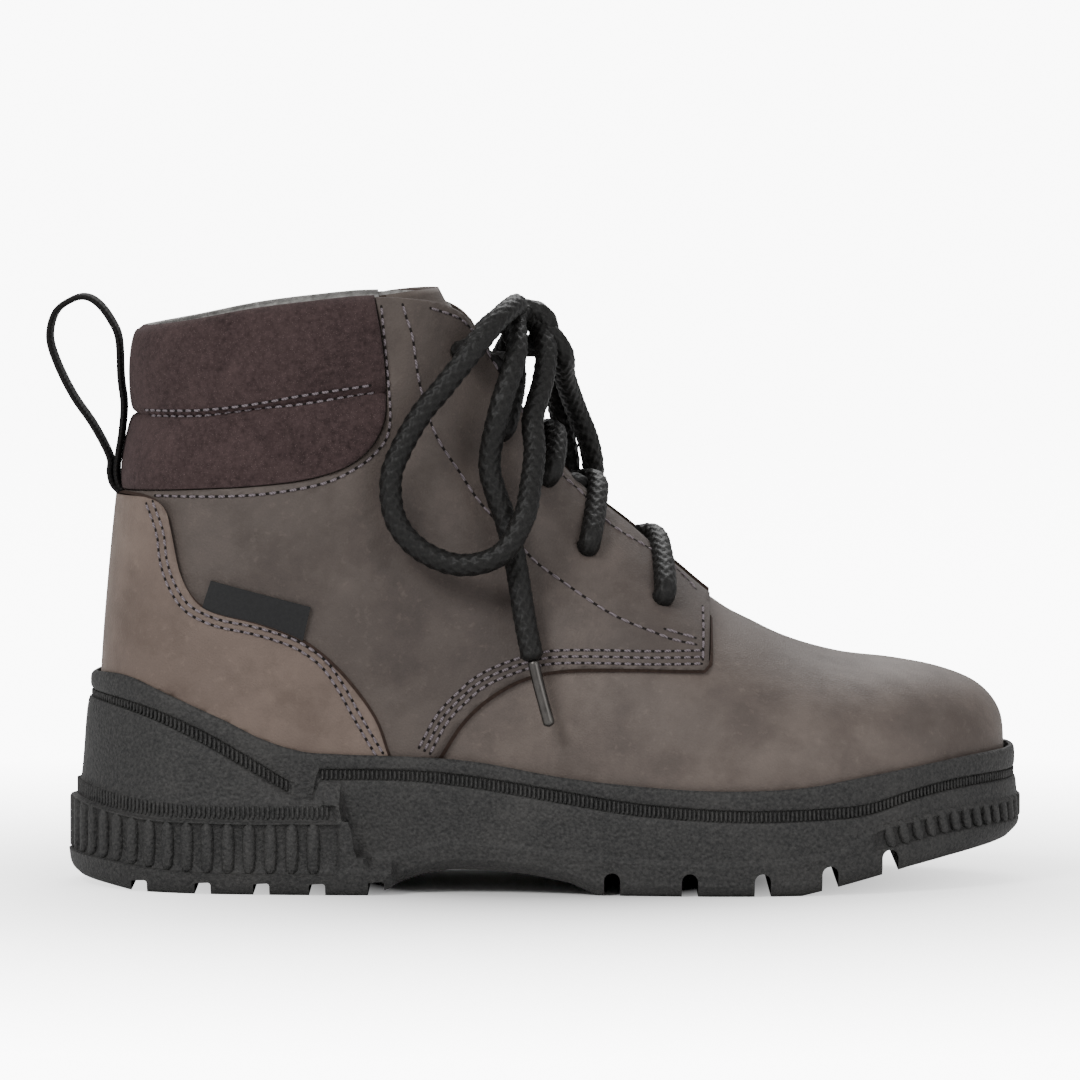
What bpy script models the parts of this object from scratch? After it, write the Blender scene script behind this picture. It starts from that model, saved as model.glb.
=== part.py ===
"""Side-zip lace-up boot for the right foot: a hollow, last-shaped upper in a cupped sole, with leather
overlays, a padded collar, a tongue, laces, a pull loop, and a zip whose pull tab is hinged.

Metres, +Z up, toe towards +X, outer side of the foot towards -Y. The origin is on the floor, under
the flat of the heel. Tables hold shares of the named sizes: "along" is measured from the back end of
the sole in SOLE_LENGTH, "up" from the floor in BOOT_HEIGHT, and "out" from the middle in BALL_WIDTH.
"""

import math

import bmesh
import bpy
import numpy as np
from mathutils import Matrix, Vector
from mathutils.bvhtree import BVHTree

SOLE_LENGTH = 0.218
BOOT_HEIGHT = 0.132
BALL_WIDTH = 0.079
HEEL_REST = 0.18

GAP = 0.0003
UPPER_WALL = 0.0024
LEATHER = 0.0011
INSOLE_THICKNESS = 0.003
INSOLE_GAP = 0.0012
TONGUE_THICKNESS = 0.003
TONGUE_GAP = 0.0008

CUP_GAP = 0.0008
CUP_LEVELS = (0.06, 0.2, 0.45, 0.7, 1.0)
RIM_GAP = 0.0008
RIM_WALL = 0.0026
BEAD_ROUND = 0.0008
GROOVE_DEPTH = 0.0009
TREAD_ROUND = 0.0024
RIB_DEPTH = 0.0012
RIB_SINK = 0.0012
HEEL_RIB_WIDTH = 0.0027
HEEL_RIB_PITCH = 0.0048
TOE_RIB_WIDTH = 0.0021
TOE_RIB_PITCH = 0.0037
NOTCH_WIDTH = 0.0036
HEEL_NOTCH_DEPTH = 0.0027
FORE_NOTCH_DEPTH = 0.0052

COLLAR_PAD_IN = 0.0045
COLLAR_BULGE = 0.0021
COLLAR_EDGE = 0.0003

EYELET_DIAMETER = 0.0042
LACE_DIAMETER = 0.005
LACE_UNDER = -0.0006
LACE_OVER = 0.0007
LACE_ARCH = 0.0048
LACE_LIFT = 0.0012
AGLET_DIAMETER = 0.0032

LOOP_THICKNESS = 0.0013
LOOP_WIDTH = 0.014
TAB_THICKNESS = 0.0009

ZIP_WIDTH = 0.0085
ZIP_TAPE = 0.0007
SLIDER_LENGTH = 0.0085
SLIDER_WIDTH = 0.0068
SLIDER_THICKNESS = 0.0018
HINGE_LIFT = 0.0019
HINGE_PIN = 0.0011
PULL_CLEARANCE = 0.0003
KNUCKLE_WALL = 0.0006
PULL_LENGTH = 0.018
PULL_WIDTH = 0.0052
PULL_THICKNESS = 0.001

TOE_RIB_HEIGHT = 0.0052

# How finely the faceted solids are cut.
FOOT_SECTIONS = 29
TURN_WEIGHT = 0.03
SHAFT_SECTIONS = 8
SHARE_COUNT = 9
HOLE_SIDES = 8

# The fan of sections, from the tip of the toe over the vamp and instep to above the collar. Each
# leaves the feather line or, from the heel up, the line of the back, and ends on the front line.
# Columns: under along, under up, feather out on the outer and inner side, front along, front up,
# widest out on the outer and inner side, lean of the front line, where along the section it is
# widest, and how square it is below and above that.
SECTIONS = (
    (0.975, 0.186, -0.101, 0.101, 0.975, 0.227, -0.101, 0.101, 0.101, 0.40, 2.0, 2.0),
    (0.969, 0.169, 0.044, 0.234, 0.971, 0.288, 0.048, 0.238, 0.101, 0.38, 2.0, 2.3),
    (0.947, 0.158, 0.158, 0.329, 0.949, 0.333, 0.163, 0.334, 0.095, 0.36, 2.0, 2.4),
    (0.908, 0.141, 0.278, 0.399, 0.910, 0.361, 0.284, 0.405, 0.089, 0.34, 2.0, 2.3),
    (0.853, 0.123, 0.389, 0.463, 0.860, 0.378, 0.394, 0.468, 0.076, 0.32, 2.0, 2.2),
    (0.789, 0.108, 0.465, 0.500, 0.800, 0.391, 0.470, 0.504, 0.063, 0.30, 2.0, 2.1),
    (0.720, 0.098, 0.504, 0.501, 0.739, 0.422, 0.508, 0.505, 0.051, 0.28, 2.0, 2.0),
    (0.647, 0.098, 0.501, 0.471, 0.677, 0.477, 0.505, 0.475, 0.038, 0.25, 2.0, 2.0),
    (0.569, 0.105, 0.471, 0.425, 0.631, 0.538, 0.475, 0.429, 0.025, 0.22, 2.0, 2.0),
    (0.477, 0.130, 0.424, 0.378, 0.587, 0.605, 0.428, 0.382, 0.013, 0.20, 2.0, 2.0),
    (0.376, 0.164, 0.392, 0.357, 0.548, 0.659, 0.397, 0.362, 0.006, 0.20, 2.0, 2.0),
    (0.266, 0.195, 0.382, 0.367, 0.521, 0.705, 0.387, 0.372, 0.000, 0.22, 2.0, 2.0),
    (0.165, 0.209, 0.350, 0.350, 0.505, 0.744, 0.382, 0.375, 0.000, 0.27, 2.0, 2.0),
    (0.110, 0.214, 0.287, 0.287, 0.498, 0.760, 0.380, 0.376, 0.000, 0.31, 2.0, 2.0),
    (0.074, 0.217, 0.190, 0.190, 0.493, 0.773, 0.377, 0.375, 0.000, 0.34, 2.0, 2.0),
    (0.056, 0.221, 0.092, 0.092, 0.489, 0.784, 0.375, 0.374, 0.000, 0.36, 2.0, 2.0),
    (0.0505, 0.235, 0.000, 0.000, 0.484, 0.796, 0.373, 0.372, 0.000, 0.37, 2.1, 2.0),
    (0.0505, 0.300, 0.000, 0.000, 0.474, 0.822, 0.370, 0.369, 0.000, 0.38, 2.2, 2.0),
    (0.054, 0.410, 0.000, 0.000, 0.460, 0.861, 0.366, 0.365, 0.000, 0.40, 2.2, 2.0),
    (0.060, 0.530, 0.000, 0.000, 0.446, 0.904, 0.360, 0.359, 0.000, 0.42, 2.2, 2.05),
    (0.068, 0.660, 0.000, 0.000, 0.431, 0.946, 0.357, 0.355, 0.000, 0.44, 2.2, 2.1),
    (0.078, 0.788, 0.000, 0.000, 0.416, 0.989, 0.360, 0.357, 0.000, 0.46, 2.2, 2.1),
    (0.081, 0.924, 0.000, 0.000, 0.402, 1.027, 0.365, 0.362, 0.000, 0.47, 2.2, 2.1),
    (0.081, 1.106, 0.000, 0.000, 0.388, 1.068, 0.365, 0.362, 0.000, 0.47, 2.2, 2.1),
)
HEEL_ROW = 16
TONGUE_ROWS = (7.3, 22.0)
TONGUE_REACH = (0.90, 0.82)

# The top of the rim all round the sole. Columns: along, up.
RIM = (
    (0.020, 0.356), (0.047, 0.364), (0.074, 0.360), (0.106, 0.339), (0.168, 0.295), (0.209, 0.262),
    (0.250, 0.241), (0.290, 0.236), (0.372, 0.231), (0.433, 0.222), (0.514, 0.199), (0.595, 0.185),
    (0.676, 0.178), (0.757, 0.182), (0.818, 0.197), (0.880, 0.213), (0.933, 0.225), (0.990, 0.233),
)

# Lines of the sole's side behind the diagonal step. Columns: along, groove top, groove bottom,
# panel bottom, band bottom, rib bottom.
HEEL_LINES = (
    (0.000, 0.335, 0.320, 0.188, 0.158, 0.057),
    (0.045, 0.329, 0.312, 0.170, 0.140, 0.050),
    (0.095, 0.311, 0.290, 0.157, 0.129, 0.040),
    (0.147, 0.277, 0.252, 0.153, 0.127, 0.034),
    (0.199, 0.230, 0.204, 0.153, 0.126, 0.034),
    (0.240, 0.190, 0.168, 0.153, 0.127, 0.034),
    (0.270, 0.172, 0.161, 0.153, 0.127, 0.034),
    (0.360, 0.172, 0.161, 0.153, 0.127, 0.034),
)

# Lines of the sole's side ahead of the step. Columns: along, groove top, groove bottom, ledge.
FORE_LINES = (
    (0.250, 0.212, 0.190, 0.076),
    (0.339, 0.211, 0.190, 0.078),
    (0.411, 0.203, 0.180, 0.098),
    (0.514, 0.177, 0.153, 0.082),
    (0.595, 0.157, 0.133, 0.069),
    (0.698, 0.146, 0.123, 0.066),
    (0.790, 0.149, 0.126, 0.080),
    (0.830, 0.155, 0.133, 0.114),
    (0.880, 0.177, 0.157, 0.134),
    (0.930, 0.191, 0.171, 0.147),
    (1.000, 0.196, 0.178, 0.155),
)

# The underside. Columns: along, up.
TREAD_LINE = (
    (0.000, 0.020), (0.050, 0.008), (0.080, 0.000), (0.322, 0.000), (0.341, 0.012), (0.362, 0.027),
    (0.382, 0.036), (0.402, 0.041), (0.443, 0.040), (0.484, 0.033), (0.524, 0.020), (0.553, 0.000),
    (0.760, 0.000), (0.798, 0.014), (0.828, 0.026), (0.870, 0.043), (0.912, 0.057), (0.956, 0.070),
    (1.000, 0.086),
)

# How far the lines of the side stand out from the rim's bead, behind and ahead of the step, and
# where along the sole each steps. Columns: behind, ahead, step. Lengths in metres.
PANEL_TOP_OUT = (0.0007, 0.0002, 0.262)
PANEL_BOTTOM_OUT = (0.0020, 0.0005, 0.290)
BAND_OUT = (0.0026, 0.0005, 0.300)
BASE_TOP_OUT = (0.0048, 0.0012, 0.315)
BASE_BOTTOM_OUT = (0.0050, 0.0010, 0.342)
STEP_WIDTH = 0.016

HEEL_NOTCHES = (0.084, 0.150, 0.210, 0.267, 0.327)
FORE_NOTCHES = (0.567, 0.646, 0.720, 0.789, 0.851)
HEEL_RIBS_END = 0.300
TOE_RIBS_START = 0.835

# Edges seen from the side. Columns: along, up.
TOP_LINE = (
    (0.020, 0.936), (0.071, 0.944), (0.136, 0.960), (0.198, 0.979), (0.260, 0.992), (0.326, 1.002),
    (0.381, 0.994), (0.407, 0.979), (0.422, 0.958), (0.439, 0.925),
)
COLLAR_SEAM = (
    (-0.020, 0.671), (0.059, 0.671), (0.088, 0.673), (0.147, 0.678), (0.198, 0.683), (0.250, 0.693),
    (0.290, 0.711), (0.316, 0.738), (0.333, 0.779), (0.338, 0.829), (0.335, 0.913), (0.326, 1.004),
)
COLLAR_CHANNEL = ((0.040, 0.800), (0.135, 0.802), (0.190, 0.811), (0.245, 0.826), (0.330, 0.842))
COUNTER_EDGE = (
    (-0.020, 0.664), (0.059, 0.664), (0.093, 0.662), (0.110, 0.645), (0.117, 0.606), (0.126, 0.539),
    (0.141, 0.493), (0.162, 0.471), (0.208, 0.452), (0.249, 0.425), (0.280, 0.387), (0.305, 0.342),
    (0.326, 0.291), (0.339, 0.2415),
)
VAMP_SEAM = (
    (0.389, 0.2355), (0.412, 0.284), (0.438, 0.326), (0.473, 0.360), (0.514, 0.376), (0.575, 0.379),
    (0.661, 0.376),
)
QUARTER_FRONT = ((0.666, 0.385), (0.669, 0.480), (0.670, 0.620))
TAB_CORNERS = ((0.158, 0.526), (0.260, 0.482), (0.252, 0.425), (0.147, 0.470))
EYELETS = ((0.617, 0.487), (0.541, 0.573), (0.497, 0.688), (0.450, 0.770), (0.407, 0.906))

# Half the width of the throat. Columns: along, out.
THROAT = ((0.640, 0.066), (0.600, 0.076), (0.520, 0.092), (0.450, 0.120), (0.400, 0.150), (0.360, 0.172))
THROAT_END = 0.700


ZIP_LINE = ((0.340, 0.42), (0.387, 1.10))
SLIDER_PLACE = 0.72

# The middle of the pull loop's band, from its outer end at the counter round to its inner end.
LOOP_ROUTE = (
    (0.046, 0.677), (0.040, 0.718), (0.021, 0.779), (-0.002, 0.846), (-0.011, 0.905), (-0.008, 0.960),
    (0.014, 0.988), (0.035, 0.977), (0.050, 0.917), (0.0545, 0.842), (0.0555, 0.760), (0.0545, 0.679),
)

# Routes of the laces in metres, chosen by hand.
KNOT_CENTRE = (0.0665, -0.0010, 0.1266)
KNOT_SIZE = (0.0066, 0.0080, 0.0066)
LEAD_END = (-0.0079, 0.0038, 0.0008)
CORDS = {
    "lace_loop_outer": (
        (0.0636, -0.0104, 0.1308), (0.0590, -0.0218, 0.1278), (0.0530, -0.0278, 0.1200),
        (0.0468, -0.0300, 0.1123), (0.0420, -0.0306, 0.1065), (0.0375, -0.0315, 0.0986),
        (0.0353, -0.0322, 0.0920), (0.0364, -0.0328, 0.0831), (0.0419, -0.0335, 0.0765),
        (0.0507, -0.0345, 0.0732), (0.0596, -0.0362, 0.0756), (0.0647, -0.0340, 0.0833),
        (0.0664, -0.0292, 0.0910), (0.0672, -0.0240, 0.0982), (0.0668, -0.0195, 0.1050),
        (0.0682, -0.0150, 0.1120), (0.0690, -0.0080, 0.1206),
    ),
    "lace_loop_inner": (
        (0.0657, 0.0080, 0.1288), (0.0635, 0.0160, 0.1245), (0.0595, 0.0215, 0.1170),
        (0.0565, 0.0240, 0.1070), (0.0555, 0.0260, 0.0960), (0.0570, 0.0275, 0.0860),
        (0.0620, 0.0285, 0.0790), (0.0690, 0.0280, 0.0780), (0.0740, 0.0260, 0.0840),
        (0.0750, 0.0225, 0.0930), (0.0730, 0.0185, 0.1040), (0.0713, 0.0125, 0.1135),
        (0.0693, 0.0060, 0.1208),
    ),
    "lace_end_outer": (
        (0.0640, -0.0096, 0.1242), (0.0634, -0.0215, 0.1180), (0.0596, -0.0262, 0.1080),
        (0.0572, -0.0262, 0.0960), (0.0585, -0.0270, 0.0890), (0.0607, -0.0280, 0.0829),
        (0.0629, -0.0300, 0.0740), (0.0651, -0.0335, 0.0607), (0.0669, -0.0360, 0.0518),
    ),
    "lace_end_inner": (
        (0.0727, -0.0004, 0.1210), (0.0738, 0.0062, 0.1140), (0.0765, 0.0130, 0.1060),
        (0.0795, 0.0170, 0.0980), (0.0805, 0.0215, 0.0900), (0.0785, 0.0262, 0.0800),
        (0.0750, 0.0285, 0.0700), (0.0718, 0.0310, 0.0600), (0.0695, 0.0332, 0.0515),
    ),
}
AGLETS = {
    "aglet_outer": ((0.0670, -0.0363, 0.0512), (0.0682, -0.0371, 0.0464), (0.0706, -0.0387, 0.0376)),
    "aglet_inner": ((0.0694, 0.0335, 0.0509), (0.0689, 0.0346, 0.0460), (0.0681, 0.0365, 0.0370)),
}


def along(share):
    return (share - HEEL_REST) * SOLE_LENGTH


def up(share):
    return share * BOOT_HEIGHT


def seen(rows):
    """Points of a side-view edge in metres."""
    return [(along(a), up(b)) for a, b in rows]


def through(rows, places, before=None, after=None):
    """A smooth curve through the rows of a table, read at row numbers."""
    rows = np.asarray(rows, float)
    places = np.clip(np.asarray(places, float), 0, len(rows) - 1)
    first = 2 * rows[0] - rows[1] if before is None else np.asarray(before, float)
    last = 2 * rows[-1] - rows[-2] if after is None else np.asarray(after, float)
    padded = np.vstack([first, rows, last])
    index = np.minimum(places.astype(int), len(rows) - 2)
    part = (places - index)[..., None]
    a, b, c, d = (padded[index + k] for k in range(4))
    bend = (2 * a - 5 * b + 4 * c - d) * part**2 + (3 * b - a - 3 * c + d) * part**3
    return 0.5 * (2 * b + (c - a) * part + bend)


def smooth_edge(points, per_span=3):
    """The points of a side-view edge with a smooth curve between them."""
    places = np.linspace(0, len(points) - 1, (len(points) - 1) * per_span + 1)
    return through(points, places)


def read_straight(rows, share):
    """A table's second column read with straight runs between the rows."""
    return float(np.interp(share, *zip(*rows)))


def read(rows, share, column=1):
    """A column of a table read at a share of the length, with smooth runs between the rows."""
    places = np.linspace(0, len(rows) - 1, 8 * len(rows))
    curve = through(rows, places)
    return np.interp(share, curve[:, 0], curve[:, column])


def section_rows(places):
    """The rows of the fan at row numbers. Ahead of the toe's tip the outline goes on round it."""
    second = SECTIONS[1]
    mirrored = list(second)
    mirrored[2:4] = -second[3], -second[2]
    mirrored[6:8] = -second[7], -second[6]
    mirrored[5] = 2 * SECTIONS[0][5] - second[5]
    return through(SECTIONS, places, before=mirrored)


def upper_points(places, shares, side):
    """Points on the outside of the upper: places are row numbers of the fan, shares run from the
    under line at 0 to the front line at 1, and side is -1 for the outer or 1 for the inner side."""
    rows = section_rows(places)
    feather = side * rows[..., 2 if side < 0 else 3]
    widest = side * rows[..., 6 if side < 0 else 7]
    lean, peak, low, high = (rows[..., k] for k in (8, 9, 10, 11))
    rise = (1 - (1 - np.clip(shares / peak, 0, 1)) ** low) ** (1 / low)
    fall = (1 - np.clip((shares - peak) / (1 - peak), 0, 1) ** high) ** (1 / high)
    out = np.where(shares < peak, feather + (widest - feather) * rise, lean + (widest - lean) * fall)
    x = along(rows[..., 0] + (rows[..., 4] - rows[..., 0]) * shares)
    z = up(rows[..., 1] + (rows[..., 5] - rows[..., 1]) * shares)
    return np.stack([x, out * BALL_WIDTH, z], axis=-1)


def feather_points(places, side):
    """The feather line in plan, and the direction out of it."""
    step = 0.01
    here = upper_points(places, np.zeros_like(places), side)
    low = upper_points(np.clip(places - step, 0, HEEL_ROW), np.zeros_like(places), side)
    high = upper_points(np.clip(places + step, 0, HEEL_ROW), np.zeros_like(places), side)
    run = (high - low)[:, :2]
    run[places <= 0] = (0, -side)
    run[places >= HEEL_ROW] = (0, -side)
    run /= np.linalg.norm(run, axis=1)[:, None]
    out = np.stack([run[:, 1], -run[:, 0]], axis=1) * side
    out[places <= 0] = (1, 0)
    out[places >= HEEL_ROW] = (-1, 0)
    return here, out


def even_places(first, last, count, shares=0.0):
    """Row numbers of the fan spaced along the outer side of the upper, closer where it turns."""
    places = np.linspace(first, last, 900)
    points = upper_points(places, np.full_like(places, shares), -1)
    steps = np.diff(points, axis=0)
    length = np.linalg.norm(steps, axis=1)
    along_path = steps / length[:, None]
    turn = np.linalg.norm(np.diff(along_path, axis=0, append=along_path[-1:]), axis=1)
    run = np.concatenate([[0], np.cumsum(length + TURN_WEIGHT * turn)])
    return np.interp(np.linspace(0, run[-1], count), run, places)


def locate(x, z, side):
    """The point of the upper's outside seen from the side at x and z, and its normal."""
    places = np.linspace(0, len(SECTIONS) - 1, 1200)
    rows = section_rows(places)
    start = np.stack([along(rows[:, 0]), up(rows[:, 1])], axis=1)
    run = np.stack([along(rows[:, 4]), up(rows[:, 5])], axis=1) - start
    length = np.maximum((run**2).sum(axis=1), 1e-12)
    share = np.clip(((np.array((x, z)) - start) * run).sum(axis=1) / length, 0, 1)
    missed = np.linalg.norm(start + run * share[:, None] - (x, z), axis=1)
    best = int(missed.argmin())
    place, share = places[best], share[best]
    spread = np.array([place - 0.04, place + 0.04, place, place])
    shares = np.clip([share, share, share - 0.01, share + 0.01], 0, 1)
    a, b, c, d = upper_points(spread, shares, side)
    normal = Vector(np.cross(b - a, d - c)).normalized()
    if normal.y * side < 0:
        normal.negate()
    point = upper_points(np.array([place]), np.array([share]), side)[0]
    return Vector(point), normal


def look(name, colour, roughness, metallic=0.0):
    material = bpy.data.materials.new(name)
    material.use_nodes = True
    shader = material.node_tree.nodes["Principled BSDF"]
    shader.inputs["Base Color"].default_value = (*colour, 1.0)
    shader.inputs["Roughness"].default_value = roughness
    shader.inputs["Metallic"].default_value = metallic
    return material


def add(name, mesh, material=None, cutter=False):
    """An object of the boot, or one of its cutters."""
    obj = bpy.data.objects.new(name, mesh)
    (cutters if cutter else boot).objects.link(obj)
    if cutter:
        obj.hide_render = True
        obj.display_type = "WIRE"
    else:
        mesh.materials.append(material)
    return obj


def boolean(obj, tool, operation="DIFFERENCE"):
    modifier = obj.modifiers.new(operation.title(), "BOOLEAN")
    modifier.operation = operation
    modifier.solver = "EXACT"
    modifier.object = tool
    return modifier


def mesh_of(bm, name):
    mesh = bpy.data.meshes.new(name)
    bm.to_mesh(mesh)
    bm.free()
    return mesh


def grid_mesh(points, closed=False):
    """A sheet of four-sided faces through a grid of points."""
    bm = bmesh.new()
    rows = [[bm.verts.new(point) for point in row] for row in points]
    width = len(rows[0]) if closed else len(rows[0]) - 1
    for low, high in zip(rows, rows[1:]):
        for k in range(width):
            nearby = (k + 1) % len(low)
            bm.faces.new((low[k], low[nearby], high[nearby], high[k]))
    return bm


def sheet(places, shares, offset):
    """The upper's outside as an open sheet, moved out by offset along its own normals."""
    where, reach = np.meshgrid(places, shares, indexing="ij")
    outer = upper_points(where, reach, -1)
    inner = upper_points(where, reach, 1)[:, ::-1]
    bm = grid_mesh(np.concatenate([outer, inner[:, 1:]], axis=1))
    bmesh.ops.remove_doubles(bm, verts=bm.verts, dist=1e-6)
    bmesh.ops.triangulate(bm, faces=bm.faces, quad_method="FIXED")
    bm.normal_update()
    moved = [(vert, vert.co + vert.normal * offset) for vert in bm.verts]
    for vert, place in moved:
        vert.co = place
    return bm


def thicken(obj, thickness, inwards=True):
    modifier = obj.modifiers.new("Wall", "SOLIDIFY")
    modifier.thickness = thickness
    modifier.offset = -1 if inwards else 1
    return modifier


def prism(name, outline, low, high):
    """A cutter: a side-view outline drawn out along Y."""
    bm = bmesh.new()
    face = bm.faces.new([bm.verts.new((x, low, z)) for x, z in outline])
    drawn = bmesh.ops.extrude_face_region(bm, geom=[face])
    verts = [item for item in drawn["geom"] if isinstance(item, bmesh.types.BMVert)]
    bmesh.ops.translate(bm, verts=verts, vec=(0, high - low, 0))
    bmesh.ops.recalc_face_normals(bm, faces=bm.faces)
    return add(name, mesh_of(bm, name), cutter=True)


def shifted(points, distance):
    """An open side-view edge moved to its left by a distance."""
    points = np.asarray(points, float)
    run = np.gradient(points, axis=0)
    run /= np.linalg.norm(run, axis=1)[:, None]
    return points + distance * np.stack([-run[:, 1], run[:, 0]], axis=1)


def rim_up(share):
    return up(read(RIM, share))


def overlay_depth(share):
    """How much the overlays add outside the upper: quarter and counter, then quarter, then none."""
    counter = np.interp(share, (0.30, 0.40), (1.0, 0.0))
    quarter = np.interp(share, (0.36, 0.46), (1.0, 0.0))
    return (counter + quarter) * LEATHER


def stepped(lines, share):
    behind, ahead, step = lines
    return behind + (ahead - behind) * np.interp(share, (step, step + STEP_WIDTH), (0, 1))


def side_profile(share):
    """Offset from the feather line and height of each line of the sole's side, rim to tread."""
    rim = RIM_WALL + overlay_depth(share)
    top = rim_up(share)
    heel = [up(read(HEEL_LINES, share, k)) for k in range(1, 6)]
    fore = [up(read(FORE_LINES, share, k)) for k in range(1, 4)]
    tread = up(read_straight(TREAD_LINE, share))
    ledge = fore[2]
    groove_top = stepped((heel[0], fore[0], PANEL_TOP_OUT[2]), share)
    groove_low = stepped((heel[1], fore[1], PANEL_TOP_OUT[2]), share)
    panel_low = stepped((heel[2], ledge, PANEL_BOTTOM_OUT[2]), share)
    band_low = stepped((heel[3], ledge - BEAD_ROUND, BAND_OUT[2]), share)
    base_low = stepped((heel[4], tread + TREAD_ROUND, BASE_BOTTOM_OUT[2]), share)
    base_low = max(base_low, tread + TREAD_ROUND)
    base_out = rim + stepped(BASE_BOTTOM_OUT, share)
    return [
        (rim - BEAD_ROUND, top),
        (rim, top - BEAD_ROUND),
        (rim, groove_top),
        (rim - GROOVE_DEPTH, groove_top - 0.4 * BEAD_ROUND),
        (rim - GROOVE_DEPTH, groove_low + 0.4 * BEAD_ROUND),
        (rim + stepped(PANEL_TOP_OUT, share), groove_low),
        (rim + stepped(PANEL_BOTTOM_OUT, share), panel_low),
        (rim + stepped(BAND_OUT, share), panel_low - 0.5 * BEAD_ROUND),
        (rim + stepped(BAND_OUT, share), band_low),
        (rim + stepped(BASE_TOP_OUT, share), band_low - BEAD_ROUND),
        (base_out, base_low),
        (base_out - 0.2 * TREAD_ROUND, tread + 0.6 * TREAD_ROUND),
        (base_out - TREAD_ROUND, tread),
    ]


def own_profile(x, lean):
    """The side's profile at a station, each line read where it stands along the sole."""
    reaches = [reach for reach, _ in side_profile(x / SOLE_LENGTH + HEEL_REST)]
    shares = [(x + lean * reach) / SOLE_LENGTH + HEEL_REST for reach in reaches]
    return [side_profile(share)[k] for k, share in enumerate(shares)]


def cup_offset(tree, here, out, height):
    """How far the upper stands outside the feather line at a height, by a ray from outside."""
    start = Vector((*(here[:2] + out * 0.02), height))
    hit = tree.ray_cast(start, Vector((*-out, 0)))[0]
    if hit is None:
        return CUP_GAP
    return max(0.0, float((np.array(hit)[:2] - here[:2]) @ out)) + CUP_GAP


def sole_loops(stations, tree):
    """The rings of the sole's stations: for each side, the profile from the footbed to the tread."""
    sides = []
    for side in (-1, 1):
        here, out = feather_points(stations, side)
        columns = []
        for point, normal in zip(here, out):
            share = point[0] / SOLE_LENGTH + HEEL_REST
            bed = point[2] - GAP
            top = rim_up(share + normal[0] * CUP_GAP / SOLE_LENGTH)
            cup = [(CUP_GAP, bed)]
            for part in CUP_LEVELS:
                height = bed + part * (top - bed)
                cup.append((cup_offset(tree, point, normal, height), height))
            column = cup + own_profile(point[0], normal[0])
            columns.append([(*(point[:2] + normal * reach), height) for reach, height in column])
        sides.append(columns)
    return sides


def make_sole(tree):
    outer, inner = sole_loops(stations, tree)
    ring = outer + inner[-2:0:-1]
    bm = grid_mesh(ring + [ring[0]])
    bmesh.ops.remove_doubles(bm, verts=bm.verts, dist=1e-6)
    for level in (0, -1):
        ends = [(Vector(a[level]), Vector(b[level])) for a, b in zip(outer, inner)]
        pairs = [[nearest(bm, a), nearest(bm, b)] for a, b in ends]
        for (a, b), (c, d) in zip(pairs, pairs[1:]):
            bm.faces.new(list(dict.fromkeys((a, c, d, b))))
    bmesh.ops.recalc_face_normals(bm, faces=bm.faces)
    sole = add("sole", mesh_of(bm, "sole"), rubber)
    boolean(sole, rib_blocks(), "UNION")
    boolean(sole, notch_blocks())
    return sole


def nearest(bm, place):
    """The vertex at a place, found by its rounded position."""
    if "places" not in corners or corners["mesh"] is not bm:
        corners["mesh"] = bm
        corners["places"] = {rounded(vert.co): vert for vert in bm.verts}
    return corners["places"][rounded(place)]


def rounded(place):
    return tuple(round(value * 1e5) for value in place)


def block(bm, place, out, width, depth, low, high, lean=0.0):
    """A rib: an upright block on the side of the sole with its outer face narrowed."""
    tangent = Vector((-out[1], out[0], 0))
    normal = Vector((*out, 0))
    base = Vector((*place, 0))
    rings = []
    for reach, narrow in ((-RIB_SINK, 1.0), (depth, 0.6)):
        half = 0.5 * width * narrow
        inset = 0.5 * width * (1 - narrow)
        ring = []
        for sign, level in ((-1, low + inset), (1, low + inset), (1, high - inset), (-1, high - inset)):
            shift = lean * (level - low) + sign * half
            ring.append(bm.verts.new(base + tangent * shift + normal * reach + Vector((0, 0, level))))
        rings.append(ring)
    for first, second in zip(rings, rings[1:]):
        for k in range(4):
            bm.faces.new((first[k], first[(k + 1) % 4], second[(k + 1) % 4], second[k]))
    bm.faces.new(rings[0])
    bm.faces.new(rings[-1])


def rib_places(first, last, pitch, reach):
    """Evenly pitched places along both sides of the sole, with the direction out at each."""
    for side in (-1, 1):
        places = np.linspace(first, last, 600)
        here, out = feather_points(places, side)
        path = here[:, :2] + out * reach
        run = np.concatenate([[0], np.cumsum(np.linalg.norm(np.diff(path, axis=0), axis=1))])
        middle = run[-1] if last == HEEL_ROW else 0
        count = int(run[-1] / pitch)
        steps = range(0 if side < 0 else 1, count)
        for step in steps:
            at = middle - step * pitch if last == HEEL_ROW else step * pitch
            place = float(np.interp(at, run, places))
            point, normal = feather_points(np.array([place]), side)
            yield point[0], normal[0], side


def row_of_share(share, first, last):
    """The row number of the fan whose feather line lies at a share of the length."""
    places = np.linspace(first, last, 400)
    shares = section_rows(places)[:, 0]
    return float(places[np.abs(shares - share).argmin()])


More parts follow.
